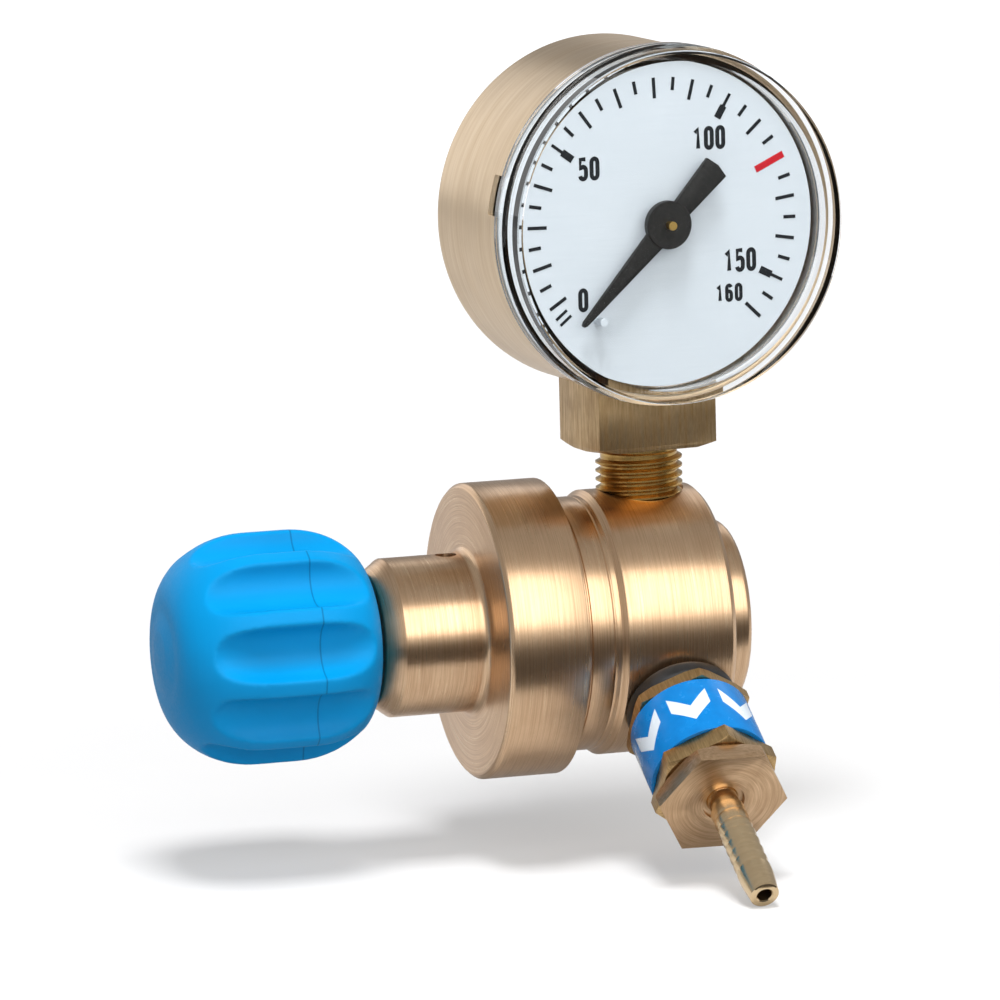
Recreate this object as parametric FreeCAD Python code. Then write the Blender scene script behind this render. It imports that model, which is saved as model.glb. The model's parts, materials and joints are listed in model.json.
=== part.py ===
import FreeCAD, Part
import math
import os

from FreeCAD import Vector

# Oxygen regulator for a small cylinder. Millimetres, +Z up.
# The main axis is X: the adjusting knob is at the -X end and the inlet at the +X end.
# The origin is the centre of the inlet's mouth. The gauge stands up along Z and its dial looks to -Y.


# Clearances

thread_play = 0.05
slide_play = 0.06
press_play = 0.01
seal_play = 0.02

# Inlet connector

flange_diameter = 21.4
flange_length = 3.4
flange_chamfer = 0.5
inlet_bore_diameter = 11.0
inlet_bore_depth = 4.6
shank_diameter = 14.0
shank_length = 4.4
filter_diameter = 7.2
filter_thickness = 1.6
connector_hole_diameter = 3.0
inlet_gasket_thickness = 0.8

# Regulator body

body_diameter = 30.5
body_length = 13.65
body_rear_chamfer = 0.6
body_thread_diameter = 29.2
body_thread_length = 8.45
body_groove_station = 3.45
body_groove_width = 0.25
body_groove_depth = 0.12
pressure_chamber_diameter = 9.0
pressure_chamber_length = 5.6
low_chamber_wall = 3.1
low_chamber_diameter = body_thread_diameter - 2 * low_chamber_wall
low_chamber_depth = 4.0
seat_web_thickness = 1.0
transfer_hole_diameter = 2.4
transfer_hole_radius = 9.6
gauge_hole_diameter = 2.0

# Port stations: the gauge and the outlet share one plane across the body

port_inset = 6.43
gauge_port_floor = 9.2
outlet_port_floor = 8.6
spot_face_depth = 0.35
spot_face_station = body_diameter / 2 - spot_face_depth

# Bonnet

bonnet_diameter = 34.0
bonnet_length = 9.25
exposed_thread = 4.68
bonnet_edge_chamfer = 0.5
bonnet_wall = 1.6
bonnet_cavity_wall = 3.6
bonnet_cavity_diameter = body_thread_diameter - 2 * bonnet_cavity_wall
neck_diameter = 18.2
neck_length = 11.85
neck_chamfer_length = 2.0
neck_chamfer_depth = 1.5
neck_fillet = 1.0
spring_bore_diameter = 12.8
spindle_thread_length = 3.6
vent_diameter = 2.5
vent_station = 2.3

# Diaphragm stack

diaphragm_thickness = 1.0
slip_ring_thickness = 0.7
diaphragm_plate_diameter = 19.0
diaphragm_plate_thickness = 1.7
spring_boss_diameter = 7.8
plate_boss_height = 1.4
stud_diameter = 4.0
stud_head_diameter = 9.0
stud_head_thickness = 1.0
stud_rivet_height = 0.5

# Adjusting spindle, button, ball and spring

spindle_diameter = 8.0
spindle_tip_diameter = 5.2
spindle_tip_length = 1.8
spindle_shank_diameter = 7.0
spindle_shank_length = 14.0
button_diameter = 12.4
button_thickness = 1.4
button_boss_height = 1.2
button_station = 3.2
ball_diameter = 3.0
ball_dimple = 0.8
range_spring_coil_diameter = 10.0
range_spring_wire = 1.4
range_spring_turns = 3.0

# Valve

valve_lift = 0.5
seat_insert_diameter = 10.0
seat_insert_length = 5.3
seat_gasket_thickness = 0.5
nozzle_diameter = 4.8
nozzle_lip_diameter = 3.4
nozzle_lip_height = 0.3
nozzle_bore_diameter = 2.2
nozzle_counterbore_diameter = 3.6
nozzle_counterbore_depth = 2.5
pin_diameter = 1.4
poppet_flat_distance = 3.4
poppet_length = 2.4
poppet_spigot_diameter = 3.2
poppet_spigot_length = 1.2
poppet_disc_diameter = 4.6
poppet_disc_thickness = 1.0
poppet_disc_proud = 0.2
poppet_spring_coil_diameter = 4.8
poppet_spring_wire = 0.5
poppet_spring_turns = 3.0

# Adjusting knob

knob_diameter = 26.4
knob_gap = 0.44
knob_front_length = 10.0
knob_middle_length = 5.0
knob_rear_length = 8.7
knob_front_face_diameter = 10.0
knob_rear_face_diameter = 14.0
knob_crown_height = 0.6
flute_count = 10
flute_radius = 3.3
flute_depth = 2.6
flute_front_inset = 4.5
flute_rear_inset = 2.4
flute_lead_angle = 6.0

# Outlet: angle below -Y, then stations measured outwards from the main axis

outlet_angle = 31.0
outlet_thread_diameter = 10.0
outlet_spigot_start = 11.2
outlet_seal_thickness = 2.5
outlet_seal_diameter = 12.9
outlet_seal_round = 0.9
hexagon_width = 13.0
hexagon_chamfer_angle = 30.0
hexagon_chamfer_diameter = 13.6
first_hexagon_length = 1.6
barrel_length = 8.6
barrel_diameter = 12.9
second_hexagon_length = 2.2
hexagon_turn = 27.5
check_bore_diameter = 2.6
check_seat_station = 13.4
check_cavity_diameter = 7.0
check_travel = 1.0
check_poppet_diameter = 6.8
check_poppet_thickness = 1.0
check_poppet_nose_length = 0.8
check_stem_diameter = 2.6
check_stem_length = 3.4
check_seal_section = 1.0
check_seal_diameter = 4.0
check_spring_coil_diameter = 4.8
check_spring_wire = 0.5
check_spring_turns = 6.0
sleeve_thickness = 0.55
sleeve_end_gap = 0.1
connector_thread_diameter = 9.0
connector_thread_length = 7.3
connector_gasket_thickness = 0.3
connector_gasket_diameter = 12.0
third_hexagon_width = 13.2
third_hexagon_length = 2.3
third_hexagon_turn = -1.2
barb_length = 15.7
barb_root_diameter = 3.4
barb_ridge_diameter = 3.95
barb_tip_diameter = 3.2
barb_bore_diameter = 1.7
barb_ridge_count = 7
barb_ridge_pitch = 1.45
barb_nose_length = 4.1
barb_recess_diameter = 4.9
barb_recess_depth = 0.6

# Gauge: heights above the main axis, then depths measured forwards from the socket's axis

gauge_turn = 5.76
gauge_centre_height = 46.6
socket_shoulder_height = 20.2
socket_width = 14.6
socket_depth = 11.2
socket_chamfer_diameter = 14.9
socket_chamfer_angle = 17.0
gauge_thread_diameter = 10.0
gauge_stub_length = 9.8
gauge_gasket_thickness = 1.0
gauge_bore_diameter = 2.0
gauge_bore_top = -20.5
gauge_lean_diameter = 1.6
case_diameter = 40.2
case_wall = 0.6
case_rear_depth = 11.1
case_front_depth = 7.6
case_rear_radius = 1.6
case_notch_width = 4.6
case_notch_depth = 3.0
case_notch_angle = 167.5
socket_step_height = 17.2
tongue_thickness = 5.6
tongue_top_radius = 10.5
window_flange_overhang = 0.5
window_flange_diameter = case_diameter + 2 * window_flange_overhang
window_flange_front = 10.0
window_step_overhang = 0.2
window_step_diameter = case_diameter + 2 * window_step_overhang
window_step_front = 10.2
window_rim_diameter = case_diameter
window_rim_front = 13.4
window_thickness = 2.8
window_skirt_depth = 1.8
window_skirt_thickness = 0.65
window_edge_round = 0.4
dial_face_depth = 7.0
dial_thickness = 0.5
dial_inset = 1.5
dial_diameter = case_diameter - 2 * dial_inset
dial_foot_diameter = 1.6
dial_foot_spacing = 10.4
dial_foot_drop = 3.0
stop_pin_diameter = 0.9
stop_pin_height = 2.0
stop_pin_radius = 13.4
stop_pin_lead = 6.4
pointer_rest_angle = 225.2
pointer_sweep = 270.0
pointer_reach = 15.3
pointer_tail_reach = 9.0
pointer_tail_width = 3.1
pointer_tail_neck_width = 2.3
pointer_blade_width = 2.5
pointer_tip_width = 0.45
pointer_thickness = 0.7
pointer_clearance = 1.2
pointer_hub_diameter = 5.5
pointer_hub_height = 0.9
arbor_diameter = 1.0
arbor_proud = 0.9

# Gauge movement

plate_thickness = 1.0
plate_width = 12.4
plate_top = 5.0
plate_bottom = -17.0
plate_corner_radius = 1.5
pillar_diameter = 1.8
pillar_rivet_diameter = 1.0
pillar_spacing = 9.2
pillar_height = 3.4
screw_spacing = 9.0
screw_height = -15.2
movement_screw_diameter = 1.9
movement_screw_length = 1.9
movement_screw_head_diameter = 3.2
movement_screw_head_height = 0.9
case_screw_length = 3.4
case_screw_head_diameter = 3.8
case_screw_head_height = 1.0
screw_slot_width = 0.5
screw_slot_depth = 0.4
spacer_diameter = 4.4
gear_module = 0.25
pinion_teeth = 8
sector_full_teeth = 40
sector_teeth = 10
tooth_backlash = 0.11
gear_thickness = 0.7
gear_plane = -3.3
pinion_extra_width = 1.0
sector_arm_radius = 2.4
sector_arbor_diameter = 1.2
pivot_diameter = 0.6
pivot_play = 0.05
sector_rim_width = 1.2
sector_hub_diameter = 2.8
link_pin_diameter = 0.6
link_width = 1.5
link_thickness = 0.6
link_pin_proud = 0.2
open_pivot_play = 0.24
tip_pin_across = 8.9
tip_pin_drop = 8.35
tube_coil_diameter = 27.0
tube_thickness = 1.4
tube_width = 4.4
tube_wall = 0.3
tube_front_gap = 0.6
tube_start_angle = -32.0
tube_end_angle = 258.0
tip_block_angle = 7.0
tip_block_margin = 0.2
hairspring_diameter = 6.4
hairspring_turns = 4.0
hairspring_strip = 0.12
hairspring_width = 0.5
hairspring_plane = -1.6
collet_diameter = 1.8
stud_pin_diameter = 0.6


# Stations along the main axis, worked out from the sizes above

flange_rear = 0.0
body_rear = flange_rear - flange_length
body_shoulder = body_rear - body_length
body_front = body_shoulder - body_thread_length
port_station = body_rear - port_inset
shank_end = body_rear - shank_length
pressure_chamber_rear = shank_end - inlet_gasket_thickness
pressure_chamber_front = pressure_chamber_rear - pressure_chamber_length
seat_web_front = pressure_chamber_front - seat_web_thickness
low_chamber_floor = body_front + low_chamber_depth
nozzle_tip = pressure_chamber_front + nozzle_lip_height
diaphragm_front = body_front - diaphragm_thickness
bonnet_step = diaphragm_front - slip_ring_thickness
bonnet_rear = body_shoulder - exposed_thread
bonnet_front = bonnet_rear - bonnet_length
bonnet_cavity_front = bonnet_front + bonnet_wall
neck_end = bonnet_front - neck_length
spring_bore_front = neck_end + spindle_thread_length
plate_front = diaphragm_front - diaphragm_plate_thickness
button_front = spring_bore_front + button_station
button_rear = button_front + button_thickness
ball_centre = button_front - ball_diameter / 2 + ball_dimple
spindle_tip = ball_centre - ball_diameter / 2 + ball_dimple
knob_rear = neck_end - knob_gap
knob_length = knob_front_length + knob_middle_length + knob_rear_length
knob_front = knob_rear - knob_length
spindle_end = knob_rear - spindle_shank_length

# Stations along the outlet's axis

spot_face_diameter = outlet_seal_diameter + 2 * slide_play
first_hexagon_start = spot_face_station + outlet_seal_thickness
barrel_start = first_hexagon_start + first_hexagon_length
second_hexagon_start = barrel_start + barrel_length
valve_body_end = second_hexagon_start + second_hexagon_length
connector_thread_end = valve_body_end - connector_thread_length
third_hexagon_start = valve_body_end + connector_gasket_thickness
barb_start = third_hexagon_start + third_hexagon_length
barb_end = barb_start + barb_length

# Depths in the gauge

case_radius = case_diameter / 2
dial_rear = dial_face_depth - dial_thickness
back_plate_front = -tongue_thickness
back_plate_rear = back_plate_front - plate_thickness
case_rear_inside = -case_rear_depth + case_wall
pointer_rear = dial_face_depth + pointer_clearance
pointer_hub_front = pointer_rear + pointer_hub_height
gear_rear = gear_plane
gear_front = gear_plane + gear_thickness
link_rear = gear_front + 0.1
link_front = link_rear + link_thickness
sector_distance = gear_module * (pinion_teeth + sector_full_teeth) / 2
sector_swing = pointer_sweep * pinion_teeth / sector_full_teeth


# Frames: each is a placement that carries a piece drawn about its own Z axis to its place

def frame(origin, across, up, along):
    matrix = FreeCAD.Matrix(
        across.x, up.x, along.x, origin.x,
        across.y, up.y, along.y, origin.y,
        across.z, up.z, along.z, origin.z,
        0, 0, 0, 1,
    )
    return FreeCAD.Placement(matrix)


def main_frame():
    return frame(Vector(0, 0, 0), Vector(0, 1, 0), Vector(0, 0, 1), Vector(1, 0, 0))


def outlet_frame():
    drop = math.radians(outlet_angle)
    outwards = Vector(0, -math.cos(drop), -math.sin(drop))
    across = Vector(1, 0, 0)
    return frame(Vector(port_station, 0, 0), across, outwards.cross(across), outwards)


def gauge_frame():
    turn = math.radians(gauge_turn)
    across = Vector(math.cos(turn), math.sin(turn), 0)
    forwards = Vector(math.sin(turn), -math.cos(turn), 0)
    return frame(Vector(port_station, 0, gauge_centre_height), across, Vector(0, 0, 1), forwards)


def placed(shape, placement):
    moved = shape.copy()
    moved.Placement = placement.multiply(shape.Placement)
    return moved


# Drawing helpers

def turned(outline):
    """Solid of revolution about Z from (radius, height) points."""
    points = [Vector(radius, 0, height) for radius, height in outline]
    wire = Part.makePolygon(points + [points[0]])
    return Part.Face(wire).revolve(Vector(0, 0, 0), Vector(0, 0, 1), 360)


def rod(diameter, low, high, x=0.0, y=0.0):
    return Part.makeCylinder(diameter / 2, high - low, Vector(x, y, low))


def ring(outer_diameter, inner_diameter, low, high, x=0.0, y=0.0):
    outer = rod(outer_diameter, low, high, x, y)
    return outer.cut(rod(inner_diameter, low, high, x, y))


def plate(outline, low, high):
    """Flat plate from (x, y) points, between two heights."""
    points = [Vector(x, y, low) for x, y in outline]
    face = Part.Face(Part.makePolygon(points + [points[0]]))
    return face.extrude(Vector(0, 0, high - low))


def hexagon(width, low, high, turn):
    corner = width / math.sqrt(3)
    angles = [math.radians(turn + 60 * step) for step in range(6)]
    return plate([(corner * math.cos(a), corner * math.sin(a)) for a in angles], low, high)


def chamfered_hexagon(width, low, high, turn, low_side, high_side):
    """Hexagon whose corners are turned off at the ends that are named."""
    slope = math.tan(math.radians(hexagon_chamfer_angle))
    start = hexagon_chamfer_diameter / 2
    corner = width / math.sqrt(3) + 0.5
    drop = (corner - start) * slope
    outline = [(0, low)]
    if low_side:
        outline += [(start, low), (corner, low + drop)]
    else:
        outline += [(corner, low)]
    if high_side:
        outline += [(corner, high - drop), (start, high)]
    else:
        outline += [(corner, high)]
    outline += [(0, high)]
    return hexagon(width, low, high, turn).common(turned(outline))


def coil_spring(coil_diameter, wire, low, high, turns):
    """Round wire coil whose ends lie just inside two heights."""
    length = high - low - wire
    helix = Part.makeHelix(length / turns, length, coil_diameter / 2)
    start = Vector(coil_diameter / 2, 0, 0)
    section = Part.Wire(Part.makeCircle(wire / 2, start, Vector(0, 1, 0)))
    coil = Part.Wire(helix.Edges).makePipeShell([section], True, True)
    coil.translate(Vector(0, 0, low + wire / 2))
    return coil


def polar(radius, angle):
    turn = math.radians(angle)
    return radius * math.cos(turn), radius * math.sin(turn)


parts = {}


# Inlet connector: turned flange and threaded shank, with the inlet's thread inside

def make_inlet_connector():
    outer = turned([
        (0, flange_rear), (flange_diameter / 2 - flange_chamfer, flange_rear),
        (flange_diameter / 2, flange_rear - flange_chamfer), (flange_diameter / 2, body_rear),
        (shank_diameter / 2, body_rear), (shank_diameter / 2, shank_end), (0, shank_end),
    ])
    mouth = rod(inlet_bore_diameter, flange_rear - inlet_bore_depth, flange_rear)
    filter_floor = flange_rear - inlet_bore_depth - filter_thickness
    pocket = rod(filter_diameter, filter_floor, flange_rear)
    hole = rod(connector_hole_diameter, shank_end, flange_rear)
    return outer.cut(mouth).cut(pocket).cut(hole)


def make_inlet_filter():
    top = flange_rear - inlet_bore_depth
    return rod(filter_diameter - 2 * press_play, top - filter_thickness, top)


def make_inlet_gasket():
    return ring(shank_diameter, pressure_chamber_diameter, pressure_chamber_rear, shank_end)


parts["inlet_connector"] = placed(make_inlet_connector(), main_frame())
parts["inlet_filter"] = placed(make_inlet_filter(), main_frame())
parts["inlet_gasket"] = placed(make_inlet_gasket(), main_frame())


# Regulator body: turned from bar, bored from both ends, with a gauge port and an outlet port

def make_body():
    radius = body_diameter / 2
    thread = body_thread_diameter / 2
    groove = body_shoulder - body_groove_station
    solid = turned([
        (0, body_rear), (radius - body_rear_chamfer, body_rear), (radius, body_rear - body_rear_chamfer),
        (radius, body_shoulder + radius - thread), (thread, body_shoulder),
        (thread, groove), (thread - body_groove_depth, groove),
        (thread - body_groove_depth, groove - body_groove_width), (thread, groove - body_groove_width),
        (thread, body_front), (0, body_front),
    ])
    shank_bore = rod(shank_diameter + 2 * thread_play, pressure_chamber_rear, body_rear)
    pressure_chamber = rod(pressure_chamber_diameter, pressure_chamber_front, body_rear)
    nozzle_hole = rod(nozzle_diameter + 2 * thread_play, seat_web_front, pressure_chamber_front)
    seat_bore = rod(seat_insert_diameter + 2 * thread_play, body_front, seat_web_front)
    low_chamber = rod(low_chamber_diameter, body_front, low_chamber_floor)
    for cavity in (shank_bore, pressure_chamber, nozzle_hole, seat_bore, low_chamber):
        solid = solid.cut(cavity)
    solid = placed(solid, main_frame())

    beyond = body_diameter
    gauge_port = rod(gauge_thread_diameter + 2 * thread_play, gauge_port_floor, beyond)
    gauge_hole = rod(gauge_hole_diameter, 0, beyond)
    upright = frame(Vector(port_station, 0, 0), Vector(1, 0, 0), Vector(0, 1, 0), Vector(0, 0, 1))
    outlet_port = rod(outlet_thread_diameter + 2 * thread_play, outlet_port_floor, beyond)
    spot_face = rod(spot_face_diameter, spot_face_station, beyond)
    for tool in (gauge_port, gauge_hole):
        solid = solid.cut(placed(tool, upright))
    for tool in (outlet_port, spot_face):
        solid = solid.cut(placed(tool, outlet_frame()))

    drop = math.radians(outlet_angle)
    transfer = rod(transfer_hole_diameter, low_chamber_floor, port_station,
                   -transfer_hole_radius * math.cos(drop), -transfer_hole_radius * math.sin(drop))
    return solid.cut(placed(transfer, main_frame()))


parts["regulator_body"] = make_body()


# Bonnet: screwed cup over the diaphragm, with the spring's bore in its neck

def make_bonnet():
    cup = bonnet_diameter / 2
    neck = neck_diameter / 2
    outer = turned([
        (0, bonnet_rear), (cup, bonnet_rear), (cup, bonnet_front + bonnet_edge_chamfer),
        (cup - bonnet_edge_chamfer, bonnet_front), (neck, bonnet_front),
        (neck, neck_end + neck_chamfer_length), (neck - neck_chamfer_depth, neck_end), (0, neck_end),
    ])
    corner = [edge for edge in outer.Edges
              if abs(edge.BoundBox.ZMax - bonnet_front) < 1e-6
              and abs(edge.BoundBox.ZMin - bonnet_front) < 1e-6
              and abs(edge.BoundBox.XMax - neck) < 1e-3]
    outer = outer.makeFillet(neck_fillet, corner)
    thread_bore = rod(body_thread_diameter + 2 * thread_play, bonnet_step, bonnet_rear)
    cavity = rod(bonnet_cavity_diameter, bonnet_cavity_front, bonnet_rear)
    spring_bore = rod(spring_bore_diameter, spring_bore_front, bonnet_rear)
    spindle_bore = rod(spindle_diameter + 2 * thread_play, neck_end, bonnet_rear)
    vent = Part.makeCylinder(vent_diameter / 2, neck, Vector(0, 0, bonnet_front - vent_station), Vector(0, 1, 0))
    for cavity_tool in (thread_bore, cavity, spring_bore, spindle_bore, vent):
        outer = outer.cut(cavity_tool)
    return outer


parts["bonnet"] = placed(make_bonnet(), main_frame())


# Diaphragm stack, clamped between the bonnet's step and the body's rim

def make_slip_ring():
    return ring(body_thread_diameter - 0.4, bonnet_cavity_diameter, bonnet_step, diaphragm_front)


def make_diaphragm():
    return ring(body_thread_diameter - 0.4, stud_diameter + 2 * press_play, diaphragm_front, body_front)


def make_diaphragm_plate():
    disc = rod(diaphragm_plate_diameter, plate_front, diaphragm_front)
    boss = rod(spring_boss_diameter, plate_front - plate_boss_height, plate_front)
    hole = rod(stud_diameter + 2 * press_play, plate_front - plate_boss_height, diaphragm_front)
    return disc.fuse(boss).cut(hole)


def make_diaphragm_stud():
    head = rod(stud_head_diameter, body_front, body_front + stud_head_thickness)
    shank = rod(stud_diameter, plate_front - plate_boss_height, body_front)
    rivet_low = plate_front - plate_boss_height - stud_rivet_height
    rivet = Part.makeCone(stud_diameter / 2, stud_diameter / 2 + stud_rivet_height, stud_rivet_height,
                          Vector(0, 0, rivet_low))
    return head.fuse(shank).fuse(rivet).removeSplitter()


parts["slip_ring"] = placed(make_slip_ring(), main_frame())
parts["diaphragm"] = placed(make_diaphragm(), main_frame())
parts["diaphragm_plate"] = placed(make_diaphragm_plate(), main_frame())
parts["diaphragm_stud"] = placed(make_diaphragm_stud(), main_frame())


# Range spring between the plate and the button, which the spindle presses through a ball

def make_ball():
    return Part.makeSphere(ball_diameter / 2, Vector(0, 0, ball_centre))


def make_button():
    disc = rod(button_diameter, button_front, button_rear)
    boss = rod(spring_boss_diameter, button_rear, button_rear + button_boss_height)
    dimple = Part.makeSphere(ball_diameter / 2 + press_play, Vector(0, 0, ball_centre))
    return disc.fuse(boss).cut(dimple)


def make_spindle():
    tip_end = spindle_tip - spindle_tip_length
    outline = [
        (0, spindle_tip), (spindle_tip_diameter / 2, spindle_tip), (spindle_tip_diameter / 2, tip_end),
        (spindle_diameter / 2, tip_end), (spindle_diameter / 2, knob_rear),
        (spindle_shank_diameter / 2, knob_rear), (spindle_shank_diameter / 2, spindle_end), (0, spindle_end),
    ]
    dimple = Part.makeSphere(ball_diameter / 2 + press_play, Vector(0, 0, ball_centre))
    return turned(outline).cut(dimple)


def make_range_spring():
    return coil_spring(range_spring_coil_diameter, range_spring_wire, button_rear + seal_play,
                       plate_front - seal_play, range_spring_turns)


parts["thrust_ball"] = placed(make_ball(), main_frame())
parts["spring_button"] = placed(make_button(), main_frame())
parts["adjusting_spindle"] = placed(make_spindle(), main_frame())
parts["range_spring"] = placed(make_range_spring(), main_frame())


# Valve: seat insert, pin, and a poppet that a small spring holds against the nozzle

def make_valve_seat():
    shoulder = seat_web_front - seat_gasket_thickness
    front = shoulder - seat_insert_length + seat_gasket_thickness
    outer = turned([
        (0, front), (seat_insert_diameter / 2, front), (seat_insert_diameter / 2, shoulder),
        (nozzle_diameter / 2, shoulder), (nozzle_diameter / 2, pressure_chamber_front),
        (nozzle_lip_diameter / 2, pressure_chamber_front), (nozzle_lip_diameter / 2 - 0.3, nozzle_tip),
        (0, nozzle_tip),
    ])
    bore = rod(nozzle_bore_diameter, front, nozzle_tip)
    counterbore = rod(nozzle_counterbore_diameter, front, front + nozzle_counterbore_depth)
    return outer.cut(bore).cut(counterbore)


def make_seat_gasket():
    return ring(seat_insert_diameter, nozzle_diameter + 2 * seal_play,
                seat_web_front - seat_gasket_thickness, seat_web_front)


def make_poppet_disc():
    return ring(poppet_disc_diameter, pin_diameter + 2 * slide_play, nozzle_tip,
                nozzle_tip + poppet_disc_thickness)


def make_poppet():
    face = nozzle_tip + poppet_disc_proud
    back = face + poppet_length
    body = rod(pressure_chamber_diameter - 2 * slide_play, face, back)
    reach = pressure_chamber_diameter
    for step in range(3):
        flat = Part.makeBox(reach, 2 * reach, poppet_length, Vector(poppet_flat_distance, -reach, face))
        flat.rotate(Vector(0, 0, 0), Vector(0, 0, 1), 120 * step)
        body = body.cut(flat)
    pocket = rod(poppet_disc_diameter + 2 * press_play, face, nozzle_tip + poppet_disc_thickness)
    spigot = rod(poppet_spigot_diameter, back, back + poppet_spigot_length)
    return body.cut(pocket).fuse(spigot).removeSplitter()


def make_valve_pin():
    return rod(pin_diameter, body_front + stud_head_thickness, nozzle_tip + poppet_disc_thickness)


def make_poppet_spring():
    poppet_back = nozzle_tip + poppet_disc_proud + poppet_length
    return coil_spring(poppet_spring_coil_diameter, poppet_spring_wire, poppet_back + seal_play,
                       shank_end - seal_play, poppet_spring_turns)


parts["valve_seat"] = placed(make_valve_seat(), main_frame())
parts["seat_gasket"] = placed(make_seat_gasket(), main_frame())
parts["poppet_disc"] = placed(make_poppet_disc(), main_frame())
parts["valve_poppet"] = placed(make_poppet(), main_frame())
parts["valve_pin"] = placed(make_valve_pin(), main_frame())
parts["poppet_spring"] = placed(make_poppet_spring(), main_frame())


# Adjusting knob: moulded barrel with shallow flutes that fade out at both ends

def make_knob():
    radius = knob_diameter / 2
    front_face = knob_front_face_diameter / 2
    rear_face = knob_rear_face_diameter / 2
    front_middle = knob_front + knob_front_length
    rear_middle = knob_rear - knob_rear_length

    def point(r, z):
        return Vector(r, 0, z)

    def quarter(centre_r, centre_z, along, across, start, end):
        ellipse = Part.Ellipse(point(centre_r, centre_z + along), point(centre_r + across, centre_z),
                               point(centre_r, centre_z))
        if abs(along) < across:
            ellipse = Part.Ellipse(point(centre_r + across, centre_z), point(centre_r, centre_z + along),
                                   point(centre_r, centre_z))
        curve = Part.ArcOfEllipse(ellipse, ellipse.parameter(start), ellipse.parameter(end))
        if curve.length() > math.pi * max(abs(along), across):
            curve = Part.ArcOfEllipse(ellipse, ellipse.parameter(end), ellipse.parameter(start))
        return curve.toShape()

    crown = Part.Arc(point(0, knob_front - knob_crown_height),
                     point(front_face * 0.5, knob_front - knob_crown_height * 0.75),
                     point(front_face, knob_front)).toShape()
    front_curve = quarter(front_face, front_middle, -knob_front_length, radius - front_face,
                          point(front_face, knob_front), point(radius, front_middle))
    side = Part.makeLine(point(radius, front_middle), point(radius, rear_middle))
    rear_curve = quarter(rear_face, rear_middle, knob_rear_length, radius - rear_face,
                         point(radius, rear_middle), point(rear_face, knob_rear))
    back = Part.makeLine(point(rear_face, knob_rear), point(0, knob_rear))
    axis = Part.makeLine(point(0, knob_rear), point(0, knob_front - knob_crown_height))
    outline = Part.Wire(Part.__sortEdges__([crown, front_curve, side, rear_curve, back, axis]))
    solid = Part.Face(outline).revolve(Vector(0, 0, 0), Vector(0, 0, 1), 360)

    flute_axis = radius + flute_radius - flute_depth
    low = knob_front + flute_front_inset
    high = knob_rear - flute_rear_inset
    for step in range(flute_count):
        angle = 180 - flute_lead_angle + 360 * step / flute_count
        x, y = polar(flute_axis, angle)
        flute = rod(2 * flute_radius, low, high, x, y)
        for end in (low, high):
            flute = flute.fuse(Part.makeSphere(flute_radius, Vector(x, y, end)))
        solid = solid.cut(flute)
    bore = rod(spindle_shank_diameter + 2 * press_play, spindle_end - press_play, knob_rear)
    return solid.cut(bore)


parts["adjusting_knob"] = placed(make_knob(), main_frame())


# Outlet fitting: a check valve body with two hexagons and a blue sleeve between them

def make_outlet_seal():
    """Thick black ring with rounded outer edges, squeezed between the body's flat and the hexagon."""
    seal = ring(outlet_seal_diameter, outlet_thread_diameter + 2 * slide_play,
                spot_face_station, first_hexagon_start)
    outer = [edge for edge in seal.Edges
             if edge.BoundBox.ZLength < 1e-6 and edge.BoundBox.XMax > outlet_seal_diameter / 2 - 1e-3]
    return seal.makeFillet(outlet_seal_round, outer)


def make_check_valve_body():
    spigot = rod(outlet_thread_diameter, outlet_spigot_start, first_hexagon_start)
    first = chamfered_hexagon(hexagon_width, first_hexagon_start, barrel_start, hexagon_turn, True, False)
    barrel = rod(barrel_diameter, barrel_start, second_hexagon_start)
    second = chamfered_hexagon(hexagon_width, second_hexagon_start, valve_body_end, hexagon_turn, False, True)
    solid = spigot.fuse([first, barrel, second]).removeSplitter()
    inlet = rod(check_bore_diameter, outlet_spigot_start, check_seat_station)
    cavity = rod(check_cavity_diameter, check_seat_station, valve_body_end)
    thread = rod(connector_thread_diameter + 2 * thread_play, connector_thread_end, valve_body_end)
    return solid.cut(inlet).cut(cavity).cut(thread)


def make_label_sleeve():
    bore = barrel_diameter + 2 * seal_play
    return ring(bore + 2 * sleeve_thickness, bore, barrel_start + sleeve_end_gap,
                second_hexagon_start - sleeve_end_gap)


check_flange_start = check_seat_station + seal_play + check_seal_section


def make_check_poppet():
    flange_end = check_flange_start + check_poppet_thickness
    nose = rod(check_seal_diameter - check_seal_section - 2 * seal_play,
               check_flange_start - check_poppet_nose_length, check_flange_start)
    flange = rod(check_poppet_diameter, check_flange_start, flange_end)
    stem = rod(check_stem_diameter, flange_end, flange_end + check_stem_length)
    return nose.fuse([flange, stem]).removeSplitter()


def make_check_seal():
    height = check_flange_start - check_seal_section / 2
    return Part.makeTorus(check_seal_diameter / 2, check_seal_section / 2, Vector(0, 0, height))


def make_check_spring():
    flange_end = check_flange_start + check_poppet_thickness
    return coil_spring(check_spring_coil_diameter, check_spring_wire, flange_end + seal_play,
                       connector_thread_end - seal_play, check_spring_turns)


def make_connector_gasket():
    return ring(connector_gasket_diameter, connector_thread_diameter + 2 * thread_play,
                valve_body_end, third_hexagon_start)


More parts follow.
